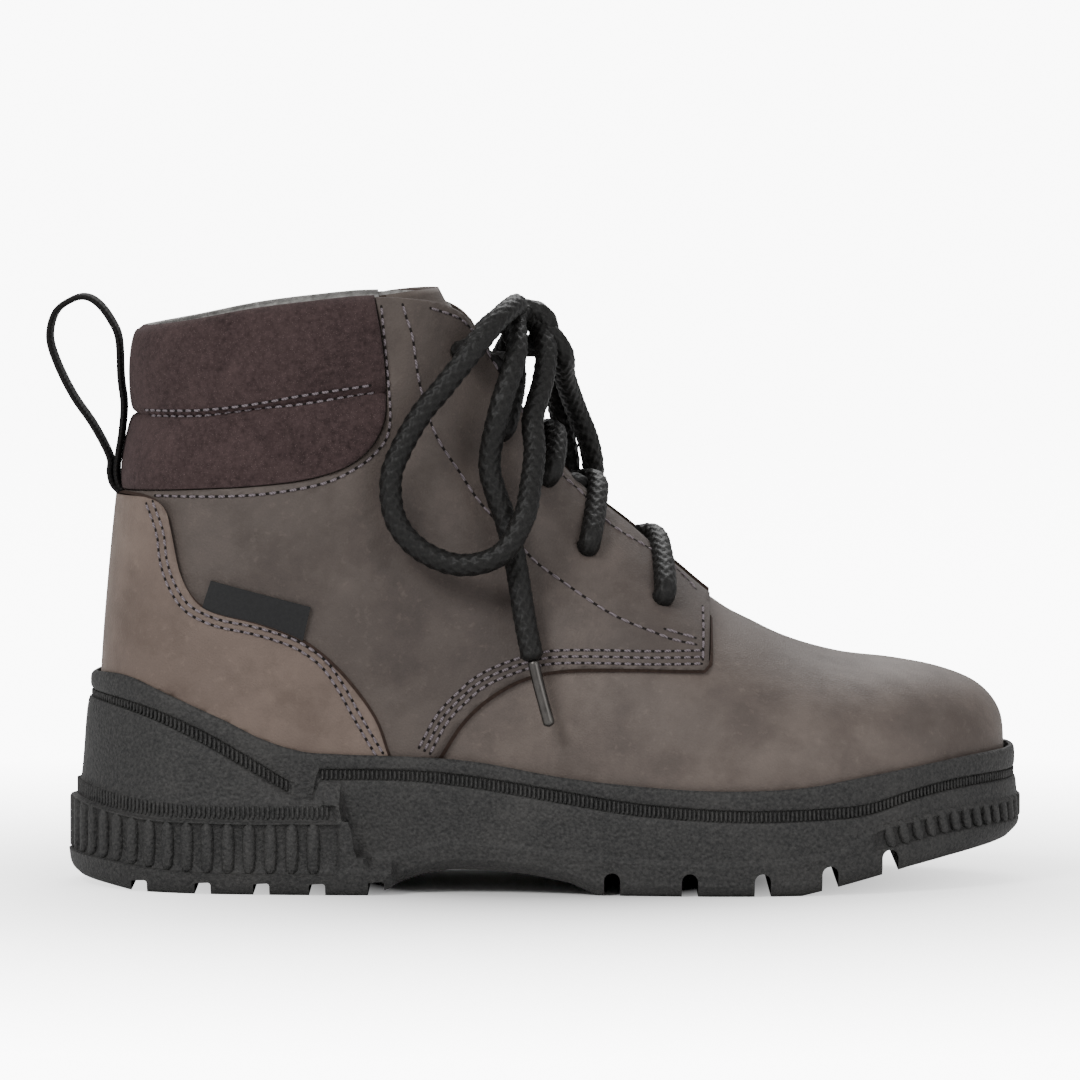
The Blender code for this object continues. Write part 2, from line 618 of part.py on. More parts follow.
def rib_blocks():
    """The upright ribs round the heel and round the toe, as one cutter body to be joined."""
    bm = bmesh.new()
    heel_start = row_of_share(HEEL_RIBS_END, 8, HEEL_ROW)
    heel_out = RIM_WALL + 2 * LEATHER + BASE_TOP_OUT[0]
    for point, normal, _ in rib_places(heel_start, HEEL_ROW, HEEL_RIB_PITCH, heel_out):
        share = point[0] / SOLE_LENGTH + HEEL_REST
        high = up(read(HEEL_LINES, share, 4)) - BEAD_ROUND
        low = up(read(HEEL_LINES, share, 5))
        place = point[:2] + normal * (RIM_WALL + overlay_depth(share) + BASE_TOP_OUT[0])
        block(bm, place, normal, HEEL_RIB_WIDTH, RIB_DEPTH, low, high)
    toe_end = row_of_share(TOE_RIBS_START, 0, 8)
    toe_out = RIM_WALL + BASE_TOP_OUT[1]
    for point, normal, side in rib_places(0, toe_end, TOE_RIB_PITCH, toe_out):
        share = point[0] / SOLE_LENGTH + HEEL_REST
        high = up(read(FORE_LINES, share, 3)) - BEAD_ROUND
        low = max(high - TOE_RIB_HEIGHT, up(read_straight(TREAD_LINE, share)) + TREAD_ROUND)
        place = point[:2] + normal * toe_out
        block(bm, place, normal, TOE_RIB_WIDTH, RIB_DEPTH, low, high, lean=0.25 * side)
    bmesh.ops.recalc_face_normals(bm, faces=bm.faces)
    return add("cutter_ribs", mesh_of(bm, "cutter_ribs"), cutter=True)


def notch_blocks():
    """The grooves across the tread: square at the heel, with arched tops under the forefoot."""
    bm = bmesh.new()
    reach = BALL_WIDTH
    for shares, depth, arched in ((HEEL_NOTCHES, HEEL_NOTCH_DEPTH, 0), (FORE_NOTCHES, FORE_NOTCH_DEPTH, 1)):
        for share in shares:
            top = up(read_straight(TREAD_LINE, share)) + depth
            half = NOTCH_WIDTH / 2
            shoulder = top - half * 0.7 * arched
            outline = [(-half, -depth), (half, -depth), (half, shoulder)]
            if arched:
                outline += [(0.45 * half, top), (-0.45 * half, top)]
            outline.append((-half, shoulder))
            face = bm.faces.new([bm.verts.new((along(share) + x, -reach, z)) for x, z in outline])
            drawn = bmesh.ops.extrude_face_region(bm, geom=[face])
            verts = [item for item in drawn["geom"] if isinstance(item, bmesh.types.BMVert)]
            bmesh.ops.translate(bm, verts=verts, vec=(0, 2 * reach, 0))
    bmesh.ops.recalc_face_normals(bm, faces=bm.faces)
    return add("cutter_notches", mesh_of(bm, "cutter_notches"), cutter=True)


def inset_edges(inset, count):
    """The feather line moved in by a distance: x, and y on the outer and inner side, toe to heel."""
    places = np.linspace(0, HEEL_ROW, 400)
    feather = [feather_points(places, side) for side in (-1, 1)]
    outline = np.concatenate([here[:, :2] for here, _ in feather])
    kept = []
    for here, out in feather:
        edge = here[:, :2] - out * inset
        apart = np.linalg.norm(edge[:, None] - outline[None], axis=2).min(axis=1)
        edge = edge[apart > 0.97 * inset]
        kept.append(edge[np.argsort(edge[:, 0])])
    low = max(edge[0, 0] for edge in kept)
    high = min(edge[-1, 0] for edge in kept)
    x = high - (high - low) * (0.5 - 0.5 * np.cos(np.linspace(0, math.pi, count)))
    return x, [np.interp(x, edge[:, 0], edge[:, 1]) for edge in kept]


def make_insole():
    """The footbed inside the upper, lying on the sole."""
    x, (outer, inner) = inset_edges(UPPER_WALL + INSOLE_GAP, 26)
    order = np.argsort(FEATHER[:, 0])
    beds = np.interp(x, FEATHER[order, 0], FEATHER[order, 2])
    columns = []
    for a, low, high, bed in zip(x, outer, inner, beds):
        top = bed + INSOLE_THICKNESS
        columns.append([(a, low, bed), (a, low, top), (a, high, top), (a, high, bed)])
    bm = grid_mesh(columns, closed=True)
    bm.verts.ensure_lookup_table()
    bm.faces.new(bm.verts[:4])
    bm.faces.new(bm.verts[-4:])
    bmesh.ops.recalc_face_normals(bm, faces=bm.faces)
    return add("insole", mesh_of(bm, "insole"), felt)


def collar_cutter(name, shrink=0.0, low=-1.0, high=1.0):
    """The part of the side view that the padded collar takes up."""
    seam = smooth_edge(seen(COLLAR_SEAM))
    seam = shifted(seam, shrink)
    over = 2 * BOOT_HEIGHT
    outline = [*map(tuple, seam), (seam[-1][0], over), (seam[0][0], over)]
    return prism(name, outline, low * BALL_WIDTH, high * BALL_WIDTH)


def top_cutter():
    """Everything above the line of the top edge."""
    line = [tuple(point) for point in smooth_edge(seen(TOP_LINE))]
    over = 2 * BOOT_HEIGHT
    front = along(0.60)
    outline = [(along(-0.2), line[0][1]), *line, (front, up(0.80)), (front, over), (along(-0.2), over)]
    return prism("cutter_top", outline, -BALL_WIDTH, BALL_WIDTH)


def throat_cutter(name, end, extra=0.0):
    """The throat from above: two edges that part towards the top, and a round end at the vamp."""
    edge = [(along(a), out * BALL_WIDTH + extra) for a, out in THROAT]
    front = [(end, 0.6), (end - 0.004, 1.0)]
    first = edge[0][1]
    half = [(x, first * part) for x, part in front] + edge
    outline = half + [(x, -y) for x, y in reversed(half)]
    bm = bmesh.new()
    face = bm.faces.new([bm.verts.new((x, y, -BOOT_HEIGHT)) for x, y in outline])
    drawn = bmesh.ops.extrude_face_region(bm, geom=[face])
    verts = [item for item in drawn["geom"] if isinstance(item, bmesh.types.BMVert)]
    bmesh.ops.translate(bm, verts=verts, vec=(0, 0, 3 * BOOT_HEIGHT))
    bmesh.ops.recalc_face_normals(bm, faces=bm.faces)
    return add(name, mesh_of(bm, name), cutter=True)


def eyelet_cutter():
    """Ten round holes through the facings, square to the leather."""
    bm = bmesh.new()
    for side in (-1, 1):
        for share, height in EYELETS:
            point, normal = locate(along(share), up(height), side)
            turn = normal.to_track_quat("Z", "Y").to_matrix().to_4x4()
            bmesh.ops.create_cone(
                bm, cap_ends=True, segments=HOLE_SIDES, radius1=EYELET_DIAMETER / 2,
                radius2=EYELET_DIAMETER / 2, depth=0.014, matrix=Matrix.Translation(point) @ turn,
            )
    return add("cutter_eyelets", mesh_of(bm, "cutter_eyelets"), cutter=True)


def overlay(name, offset, thickness, outline, sides, material, cuts):
    """A leather overlay: a shell outside the upper, kept inside a side-view outline, less its cuts."""
    bm = sheet(places, shares, offset)
    obj = add(name, mesh_of(bm, name), material)
    thicken(obj, thickness, inwards=False)
    boolean(obj, prism("cutter_" + name, outline, *sides), "INTERSECT")
    for tool in cuts:
        boolean(obj, tool)
    return obj


def rim_edge(first, last, lift):
    """The top of the rim seen from the side, with a gap above it."""
    return [(along(a), rim_up(a) + lift) for a in np.linspace(first, last, 22)]


def make_quarters():
    """The quarter of each side, from the back seam to the blunt front end over the vamp."""
    over = 2 * BOOT_HEIGHT
    seam = [tuple(p) for p in smooth_edge(seen(VAMP_SEAM))]
    front = seen(QUARTER_FRONT)
    low = [p for p in rim_edge(-0.02, 0.389, RIM_GAP) if p[0] < seam[0][0]]
    outline = low + seam + front + [(front[-1][0], over), (low[0][0], over)]
    reach = BALL_WIDTH
    cuts = [bpy.data.objects[n] for n in ("cutter_top", "cutter_eyelets")]
    cuts.append(throat_cutter("cutter_throat_long", along(THROAT_END), -LEATHER))
    cuts.append(collar_cutter("cutter_collar_long"))
    outer = overlay("quarter_outer", GAP, LEATHER, outline, (-reach, -GAP / 2), leather, cuts)
    slot = zip_prism("cutter_zip_slot", ZIP_WIDTH / 2)
    inner = overlay("quarter_inner", GAP, LEATHER, outline, (GAP / 2, reach), leather, cuts + [slot])
    return outer, inner


def zip_line():
    return np.array(seen(ZIP_LINE))


def zip_prism(name, half, stop=0.0):
    """The slot of the zip on the inner side: straight edges and a round lower end."""
    (low, high) = zip_line()
    run = (high - low) / np.linalg.norm(high - low)
    side = np.array((-run[1], run[0]))
    turns = np.linspace(math.pi, 2 * math.pi, 7)
    end = [tuple(low + half * (math.cos(t) * -side + math.sin(t) * run)) for t in turns]
    top = high - run * stop
    outline = end + [tuple(top - side * -half), tuple(top - side * half)]
    if np.linalg.norm(np.array(end[-1]) - outline[-2]) > np.linalg.norm(np.array(end[-1]) - outline[-1]):
        outline[-2:] = outline[:-3:-1]
    return prism(name, outline, GAP, BALL_WIDTH)


def make_counter():
    """The heel counter, over both quarters."""
    edge = [tuple(p) for p in smooth_edge(seen(COUNTER_EDGE))]
    low = [p for p in rim_edge(-0.02, 0.345, RIM_GAP) if p[0] < edge[-1][0]]
    outline = low + edge[::-1]
    offset = LEATHER + 2 * GAP
    reach = BALL_WIDTH
    return overlay("heel_counter", offset, LEATHER, outline, (-reach, reach), leather, [])


def make_collar():
    """The padded collar: two soft rolls with a stitched channel between, open at the front."""
    over = 0.012
    levels = np.concatenate([np.linspace(0, 0.5, 5), np.linspace(0.5, 1, 5)[1:]])
    columns = 0.5 - 0.5 * np.cos(np.linspace(0, 0.74 * math.pi, 10))
    fan = np.linspace(17, len(SECTIONS) - 1, 500)
    seam = np.array(smooth_edge(seen(COLLAR_SEAM[:7])))
    channel = np.array(smooth_edge(seen(COLLAR_CHANNEL)))
    top = np.array(smooth_edge(seen(TOP_LINE[:7])))
    sides = []
    for side in (-1, 1):
        rows = []
        for level in levels:
            row = []
            for column in columns:
                path = upper_points(fan, np.full_like(fan, column), side)
                low = np.interp(path[:, 0], seam[:, 0], seam[:, 1]) - over * 0.15
                middle = np.interp(path[:, 0], channel[:, 0], channel[:, 1])
                high = np.interp(path[:, 0], top[:, 0], top[:, 1])
                part = 2 * level
                aim = low + (middle - low) * part if part <= 1 else middle + (high - middle) * (part - 1)
                place = float(np.interp(0, path[:, 2] - aim, fan))
                row.append(upper_points(np.array([place]), np.array([column]), side)[0])
            rows.append(row)
        sides.append(rows)
    points = [inner[::-1] + outer[1:] for outer, inner in zip(*sides)]
    bm = grid_mesh(points)
    bmesh.ops.recalc_face_normals(bm, faces=bm.faces)
    bm.normal_update()
    bm.verts.ensure_lookup_table()
    if bm.verts[0].normal.y < 0:
        bmesh.ops.reverse_faces(bm, faces=bm.faces)
        bm.normal_update()
    width = len(points[0])
    skins = []
    for outside in (True, False):
        moved = []
        for k, vert in enumerate(bm.verts):
            part = (2 * levels[k // width]) % 1 if levels[k // width] < 1 else 1
            roll = math.sqrt(max(0, 1 - (2 * part - 1) ** 2))
            reach = COLLAR_EDGE + COLLAR_BULGE * roll if outside else -(COLLAR_PAD_IN - COLLAR_BULGE * (1 - roll))
            moved.append(vert.co + vert.normal * reach)
        skins.append([moved[r * width:(r + 1) * width] for r in range(len(points))])
    bm.free()
    outer, inner = skins
    ring = [a + b[::-1] for a, b in zip(outer, inner)]
    bm = grid_mesh(ring, closed=True)
    bm.verts.ensure_lookup_table()
    count = 2 * width
    for base in (0, (len(ring) - 1) * count):
        for k in range(width - 1):
            quad = (base + k, base + k + 1, base + count - k - 2, base + count - k - 1)
            bm.faces.new([bm.verts[n] for n in quad])
    bmesh.ops.recalc_face_normals(bm, faces=bm.faces)
    collar = add("collar", mesh_of(bm, "collar"), suede)
    boolean(collar, collar_cutter("cutter_collar_own", GAP), "INTERSECT")
    return collar


def make_tongue():
    """The tongue, under the facings from the vamp to the top line."""
    fan = places[(places >= TONGUE_ROWS[0]) & (places <= TONGUE_ROWS[1])]
    reach = np.linspace(*TONGUE_REACH, len(fan))
    offset = UPPER_WALL + TONGUE_GAP
    sides = []
    for side in (-1, 1):
        rows = []
        for place, edge in zip(fan, reach):
            part = edge + (1 - edge) * np.sin(np.linspace(0, math.pi / 2, 5))
            rows.append(upper_points(np.full(5, place), part, side))
        sides.append(rows)
    points = [list(outer) + list(inner[::-1])[1:] for outer, inner in zip(*sides)]
    bm = grid_mesh(points)
    bm.normal_update()
    moved = [(vert, vert.co - vert.normal * offset) for vert in bm.verts]
    for vert, place in moved:
        vert.co = place
    tongue = add("tongue", mesh_of(bm, "tongue"), lining)
    thicken(tongue, TONGUE_THICKNESS)
    return tongue


def make_pull_loop():
    """The webbing loop at the back: a band along a closed route, its ends joined at the base."""
    route = through(seen(LOOP_ROUTE), np.linspace(0, len(LOOP_ROUTE) - 1, 30))
    outside = shifted(route, LOOP_THICKNESS / 2)
    inside = shifted(route, -LOOP_THICKNESS / 2)
    half = LOOP_WIDTH / 2
    bm = bmesh.new()
    rings = []
    for a, b in zip(outside, inside):
        corner = ((a[0], -half, a[1]), (a[0], half, a[1]), (b[0], half, b[1]), (b[0], -half, b[1]))
        rings.append([bm.verts.new(c) for c in corner])
    for first, second in zip(rings, rings[1:]):
        for k in range(4):
            bm.faces.new((first[k], first[(k + 1) % 4], second[(k + 1) % 4], second[k]))
    bm.faces.new(rings[0])
    bm.faces.new(rings[-1])
    bmesh.ops.recalc_face_normals(bm, faces=bm.faces)
    return add("pull_loop", mesh_of(bm, "pull_loop"), webbing)


def make_tab():
    """The blank label on the outer quarter, its lower edge against the counter."""
    tab = overlay(
        "side_tab", LEATHER + 2 * GAP, TAB_THICKNESS, seen(TAB_CORNERS), (-BALL_WIDTH, 0), rubber,
        [grown_counter()],
    )
    return tab


def grown_counter():
    edge = shifted(smooth_edge(seen(COUNTER_EDGE)), GAP)
    low = rim_edge(-0.02, 0.345, -0.002)
    outline = low + [tuple(p) for p in edge[::-1]]
    return prism("cutter_grown_counter", outline, -BALL_WIDTH, BALL_WIDTH)


def make_zip_tape():
    """The closed teeth and tape of the zip, in the slot of the inner quarter."""
    obj = add("zip_tape", mesh_of(sheet(places, shares, GAP), "zip_tape"), webbing)
    thicken(obj, ZIP_TAPE, inwards=False)
    boolean(obj, zip_prism("cutter_zip_tape", ZIP_WIDTH / 2 - GAP), "INTERSECT")
    boolean(obj, bpy.data.objects["cutter_top"])
    return obj


def zip_frame():
    """The slider's place: its middle on the tape, and the directions out, up and across."""
    low, high = zip_line()
    x, z = low + (high - low) * SLIDER_PLACE
    point, normal = locate(x, z, 1)
    rise = Vector((high[0] - low[0], 0, high[1] - low[1]))
    rise = (rise - normal * rise.dot(normal)).normalized()
    across_slot = rise.cross(normal).normalized()
    return point, normal, rise, across_slot


def cuboid(bm, frame, low, high):
    """A box between two corners given as across, along the zip, and out from the upper."""
    point, normal, rise, side = frame
    made = bmesh.ops.create_cube(bm, size=1.0)["verts"]
    for vert in made:
        part = [low[k] + (high[k] - low[k]) * (vert.co[k] + 0.5) for k in range(3)]
        vert.co = point + side * part[0] + rise * part[1] + normal * part[2]
    return made


def make_zip_slider():
    """The slider on the teeth, with two cheeks that carry the hinge pin."""
    frame = zip_frame()
    base = 2 * GAP + ZIP_TAPE
    top = base + SLIDER_THICKNESS
    axis = top + HINGE_LIFT
    half = SLIDER_WIDTH / 2
    bm = bmesh.new()
    cuboid(bm, frame, (-half, -SLIDER_LENGTH / 2, base), (half, SLIDER_LENGTH / 2, top))
    bmesh.ops.recalc_face_normals(bm, faces=bm.faces)
    slider = add("zip_slider", mesh_of(bm, "zip_slider"), metal)
    inside = PULL_WIDTH / 2 + PULL_CLEARANCE
    bm = bmesh.new()
    for sign in (-1, 1):
        ends = sorted((sign * inside, sign * (half + 2 * GAP)))
        cuboid(bm, frame, (ends[0], -0.0012, base + 0.3 * SLIDER_THICKNESS), (ends[1], 0.0012, axis + 0.0011))
    bmesh.ops.recalc_face_normals(bm, faces=bm.faces)
    boolean(slider, add("cutter_cheeks", mesh_of(bm, "cutter_cheeks"), cutter=True), "UNION")
    bm = bmesh.new()
    turn = Matrix((frame[3], frame[1], frame[2])).transposed()
    turn = (turn @ Matrix.Rotation(math.pi / 2, 3, "Y")).to_4x4()
    place = Matrix.Translation(frame[0] + frame[1] * axis) @ turn
    bmesh.ops.create_cone(
        bm, cap_ends=True, segments=10, radius1=HINGE_PIN / 2, radius2=HINGE_PIN / 2,
        depth=2 * inside + 0.0006, matrix=place,
    )
    bmesh.ops.recalc_face_normals(bm, faces=bm.faces)
    boolean(slider, add("cutter_pin", mesh_of(bm, "cutter_pin"), cutter=True), "UNION")
    return slider


def make_zip_pull():
    """The pull tab, hanging from the slider's pin. Its origin is on the hinge's axis."""
    frame = zip_frame()
    point, normal, rise, side = frame
    axis = 2 * GAP + ZIP_TAPE + SLIDER_THICKNESS + HINGE_LIFT
    bore = HINGE_PIN / 2 + PULL_CLEARANCE
    outer = bore + KNUCKLE_WALL
    half = PULL_WIDTH / 2
    centre = (point + normal * axis, normal, rise, side)
    turn = (Matrix((side, normal, rise)).transposed() @ Matrix.Rotation(math.pi / 2, 3, "Y")).to_4x4()
    place = Matrix.Translation(centre[0]) @ turn
    bm = bmesh.new()
    bmesh.ops.create_cone(
        bm, cap_ends=True, segments=14, radius1=outer, radius2=outer, depth=PULL_WIDTH, matrix=place,
    )
    bmesh.ops.recalc_face_normals(bm, faces=bm.faces)
    pull = add("zip_pull", mesh_of(bm, "zip_pull"), metal)
    bm = bmesh.new()
    cuboid(bm, centre, (-0.8 * half, -PULL_LENGTH, -PULL_THICKNESS / 2), (0.8 * half, -bore - 0.0002, PULL_THICKNESS / 2))
    bmesh.ops.recalc_face_normals(bm, faces=bm.faces)
    boolean(pull, add("cutter_blade", mesh_of(bm, "cutter_blade"), cutter=True), "UNION")
    bm = bmesh.new()
    bmesh.ops.create_cone(
        bm, cap_ends=True, segments=12, radius1=bore / math.cos(math.pi / 12),
        radius2=bore / math.cos(math.pi / 12), depth=2 * PULL_WIDTH, matrix=place,
    )
    bmesh.ops.recalc_face_normals(bm, faces=bm.faces)
    boolean(pull, add("cutter_bore", mesh_of(bm, "cutter_bore"), cutter=True))
    origin = centre[0]
    pull.data.transform(Matrix.Translation(-origin))
    pull.location = origin
    return pull


def facing_point(number, side, lift):
    """A place over an eyelet, lifted off the facing."""
    share, height = EYELETS[number]
    point, normal = locate(along(share), up(height), side)
    return point + normal * (GAP + LEATHER + lift), normal


def cord(name, points, material, diameter=LACE_DIAMETER, cyclic=False):
    """A round cord through chosen points, read from a smooth curve between them."""
    points = np.array([tuple(p) for p in points], float)
    run = np.linalg.norm(np.diff(points, axis=0), axis=1).sum()
    count = max(4, int(run / (2.4 * diameter)) + 1)
    fine = through(points, np.linspace(0, len(points) - 1, 300))
    length = np.concatenate([[0], np.cumsum(np.linalg.norm(np.diff(fine, axis=0), axis=1))])
    even = np.linspace(0, length[-1], count)
    route = np.stack([np.interp(even, length, fine[:, k]) for k in range(3)], axis=1)
    curve = bpy.data.curves.new(name, "CURVE")
    curve.dimensions = "3D"
    curve.bevel_depth = diameter / 2
    curve.bevel_resolution = 2
    curve.use_fill_caps = True
    spline = curve.splines.new("POLY")
    spline.points.add(count - 1)
    for point, place in zip(spline.points, route):
        point.co = (*place, 1)
    obj = bpy.data.objects.new(name, curve)
    boot.objects.link(obj)
    curve.materials.append(material)
    return obj


def as_mesh(obj, cutter=False):
    """A cord made a closed mesh, so that it can be joined."""
    bpy.context.view_layer.update()
    graph = bpy.context.evaluated_depsgraph_get()
    mesh = bpy.data.meshes.new_from_object(obj.evaluated_get(graph))
    bm = bmesh.new()
    bm.from_mesh(mesh)
    bmesh.ops.remove_doubles(bm, verts=bm.verts, dist=1e-6)
    bmesh.ops.recalc_face_normals(bm, faces=bm.faces)
    bm.to_mesh(mesh)
    bm.free()
    name = obj.name
    place = obj.matrix_world.copy()
    bpy.data.objects.remove(obj)
    made = bpy.data.objects.new(name, mesh)
    made.matrix_world = place
    (cutters if cutter else boot).objects.link(made)
    if cutter:
        made.hide_render = True
        made.display_type = "WIRE"
    return made


def lace_strand(name, start, start_side, end):
    """A strand from over one eyelet across the throat to over the next eyelet of the other side."""
    lift = LACE_DIAMETER / 2 + 2 * GAP
    first, low = facing_point(start, start_side, lift)
    last, high = facing_point(end, -start_side, lift)
    crest = crossing_point((start + end) / 2)
    rise = LACE_DIAMETER / 2 + (LACE_OVER if start_side < 0 else LACE_UNDER)
    over = crest + Vector((0.7, 0, 0.7)).normalized() * (GAP + LEATHER + rise)
    last = last.lerp(over, 0.1) + high * LACE_LIFT
    near = first.lerp(over, 0.5) + low * LACE_ARCH
    far = over.lerp(last, 0.5) + high * LACE_ARCH
    return cord(name, (first, near, over, far, last), lace)


def crossing_point(number):
    """A place on the front line between two eyelets' rows."""
    a, b = (crest_of(int(math.floor(number))), crest_of(int(math.ceil(number))))
    return (a + b) / 2


def crest_of(number):
    share, height = EYELETS[number]
    places = np.linspace(6, len(SECTIONS) - 1, 600)
    front = upper_points(places, np.ones_like(places), -1)
    point = np.array((along(share), up(height)))
    slope = np.gradient(front[:, [0, 2]], axis=0)
    slope /= np.linalg.norm(slope, axis=1)[:, None]
    square = np.abs(((front[:, [0, 2]] - point) * slope).sum(axis=1))
    return Vector(front[int(square.argmin())])


def make_lace_crossings():
    """Eight strands that cross over the throat and meet at the eyelets, joined into one solid."""
    strands = []
    for number in range(len(EYELETS) - 1):
        for side in (-1, 1):
            strands.append(lace_strand("strand", number, side, number + 1))
    for number, side in ((len(EYELETS) - 1, -1), (len(EYELETS) - 1, 1)):
        lift = LACE_DIAMETER / 2 + GAP
        first, normal = facing_point(number, side, lift)
        knot = Vector(KNOT_CENTRE) + Vector((LEAD_END[0], LEAD_END[1] * side, LEAD_END[2]))
        middle = first.lerp(knot, 0.5) + normal * LACE_ARCH
        strands.append(cord("strand", (first, middle, knot), lace))
    whole = as_mesh(strands[0])
    whole.name = "lace_crossings"
    for k, strand in enumerate(strands[1:]):
        tool = as_mesh(strand, cutter=True)
        tool.name = f"cutter_strand_{k}"
        boolean(whole, tool, "UNION")
    return whole


def make_knot():
    bm = bmesh.new()
    bmesh.ops.create_icosphere(bm, subdivisions=2, radius=1.0)
    for vert in bm.verts:
        vert.co = Vector(KNOT_CENTRE) + Vector([a * b for a, b in zip(vert.co, KNOT_SIZE)])
    return add("lace_knot", mesh_of(bm, "lace_knot"), lace)


for old in list(bpy.data.objects):
    bpy.data.objects.remove(old, do_unlink=True)
boot = bpy.data.collections.new("side_zip_lace_up_boot")
cutters = bpy.data.collections.new("cutters")
for collection in (boot, cutters):
    bpy.context.scene.collection.children.link(collection)
cutters.hide_render = True
corners = {}

rubber = look("black_foam_rubber", (0.05, 0.05, 0.05), 0.85)
leather = look("grey_brown_leather", (0.105, 0.087, 0.077), 0.6)
suede = look("dark_brown_suede", (0.06, 0.045, 0.042), 0.95)
lining = look("grey_wool_lining", (0.5, 0.5, 0.48), 0.95)
felt = look("grey_felt", (0.4, 0.4, 0.38), 0.95)
webbing = look("black_webbing", (0.02, 0.019, 0.018), 0.8)
metal = look("dark_metal", (0.12, 0.12, 0.12), 0.35, 1.0)
lace = look("black_braided_lace", (0.012, 0.012, 0.012), 0.8)

FEATHER = feather_points(np.linspace(0, HEEL_ROW, 200), -1)[0]
stations = even_places(0, HEEL_ROW, FOOT_SECTIONS)
places = np.concatenate([stations, even_places(HEEL_ROW, len(SECTIONS) - 1, SHAFT_SECTIONS, 0.5)[1:]])
shares = 0.5 - 0.5 * np.cos(np.linspace(0, math.pi, SHARE_COUNT))
skin = sheet(places, shares, 0.0)
tree = BVHTree.FromBMesh(skin)
upper = add("upper", mesh_of(skin, "upper"), leather)
thicken(upper, UPPER_WALL)
boolean(upper, collar_cutter("cutter_collar"))
boolean(upper, top_cutter())
boolean(upper, throat_cutter("cutter_throat", along(0.655)))
boolean(upper, eyelet_cutter())
make_sole(tree)
make_insole()
make_tongue()
make_quarters()
make_counter()
make_collar()
make_tab()
make_zip_tape()
make_zip_slider()
make_zip_pull()
make_pull_loop()
make_knot()
make_lace_crossings()
for name, route in CORDS.items():
    cord(name, route, lace)
for name, route in AGLETS.items():
    cord(name, route, metal, AGLET_DIAMETER)
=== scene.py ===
"""The looks of a side-zip lace-up boot for the right foot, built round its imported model."""

import math

import bmesh
import bpy
import numpy as np
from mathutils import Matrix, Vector
from mathutils.bvhtree import BVHTree


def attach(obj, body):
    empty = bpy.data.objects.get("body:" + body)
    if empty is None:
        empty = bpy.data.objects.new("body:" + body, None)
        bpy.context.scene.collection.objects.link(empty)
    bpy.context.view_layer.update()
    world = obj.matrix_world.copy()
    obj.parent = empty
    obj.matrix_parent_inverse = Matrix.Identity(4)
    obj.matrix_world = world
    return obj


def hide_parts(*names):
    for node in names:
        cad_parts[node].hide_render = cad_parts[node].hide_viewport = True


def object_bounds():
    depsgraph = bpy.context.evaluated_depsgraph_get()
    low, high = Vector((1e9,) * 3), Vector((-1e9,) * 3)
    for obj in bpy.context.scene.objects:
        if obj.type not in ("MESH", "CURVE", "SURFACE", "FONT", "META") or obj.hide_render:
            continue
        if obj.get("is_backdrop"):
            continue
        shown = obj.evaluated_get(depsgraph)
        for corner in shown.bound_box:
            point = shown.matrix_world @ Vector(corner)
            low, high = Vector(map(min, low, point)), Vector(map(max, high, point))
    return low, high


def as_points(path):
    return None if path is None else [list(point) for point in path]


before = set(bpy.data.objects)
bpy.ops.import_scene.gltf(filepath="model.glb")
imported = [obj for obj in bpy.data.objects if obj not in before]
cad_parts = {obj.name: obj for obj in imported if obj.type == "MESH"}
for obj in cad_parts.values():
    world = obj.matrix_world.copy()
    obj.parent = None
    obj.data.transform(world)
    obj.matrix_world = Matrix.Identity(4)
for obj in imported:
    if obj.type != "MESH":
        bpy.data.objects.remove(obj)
cad_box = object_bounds()
BODY = "boot"


# Upper: the vamp, toe and shaft, one skin of grey-brown nubuck drawn over a child's last of about
# 196 mm and lined with wool. All that lies on it is cut from the same sections of the last.
SOLE_LENGTH = 0.218
BOOT_HEIGHT = 0.132
BALL_WIDTH = 0.079
HEEL_REST = 0.18
WALL = 0.0024
LEATHER = 0.0011
GAP = 0.0003
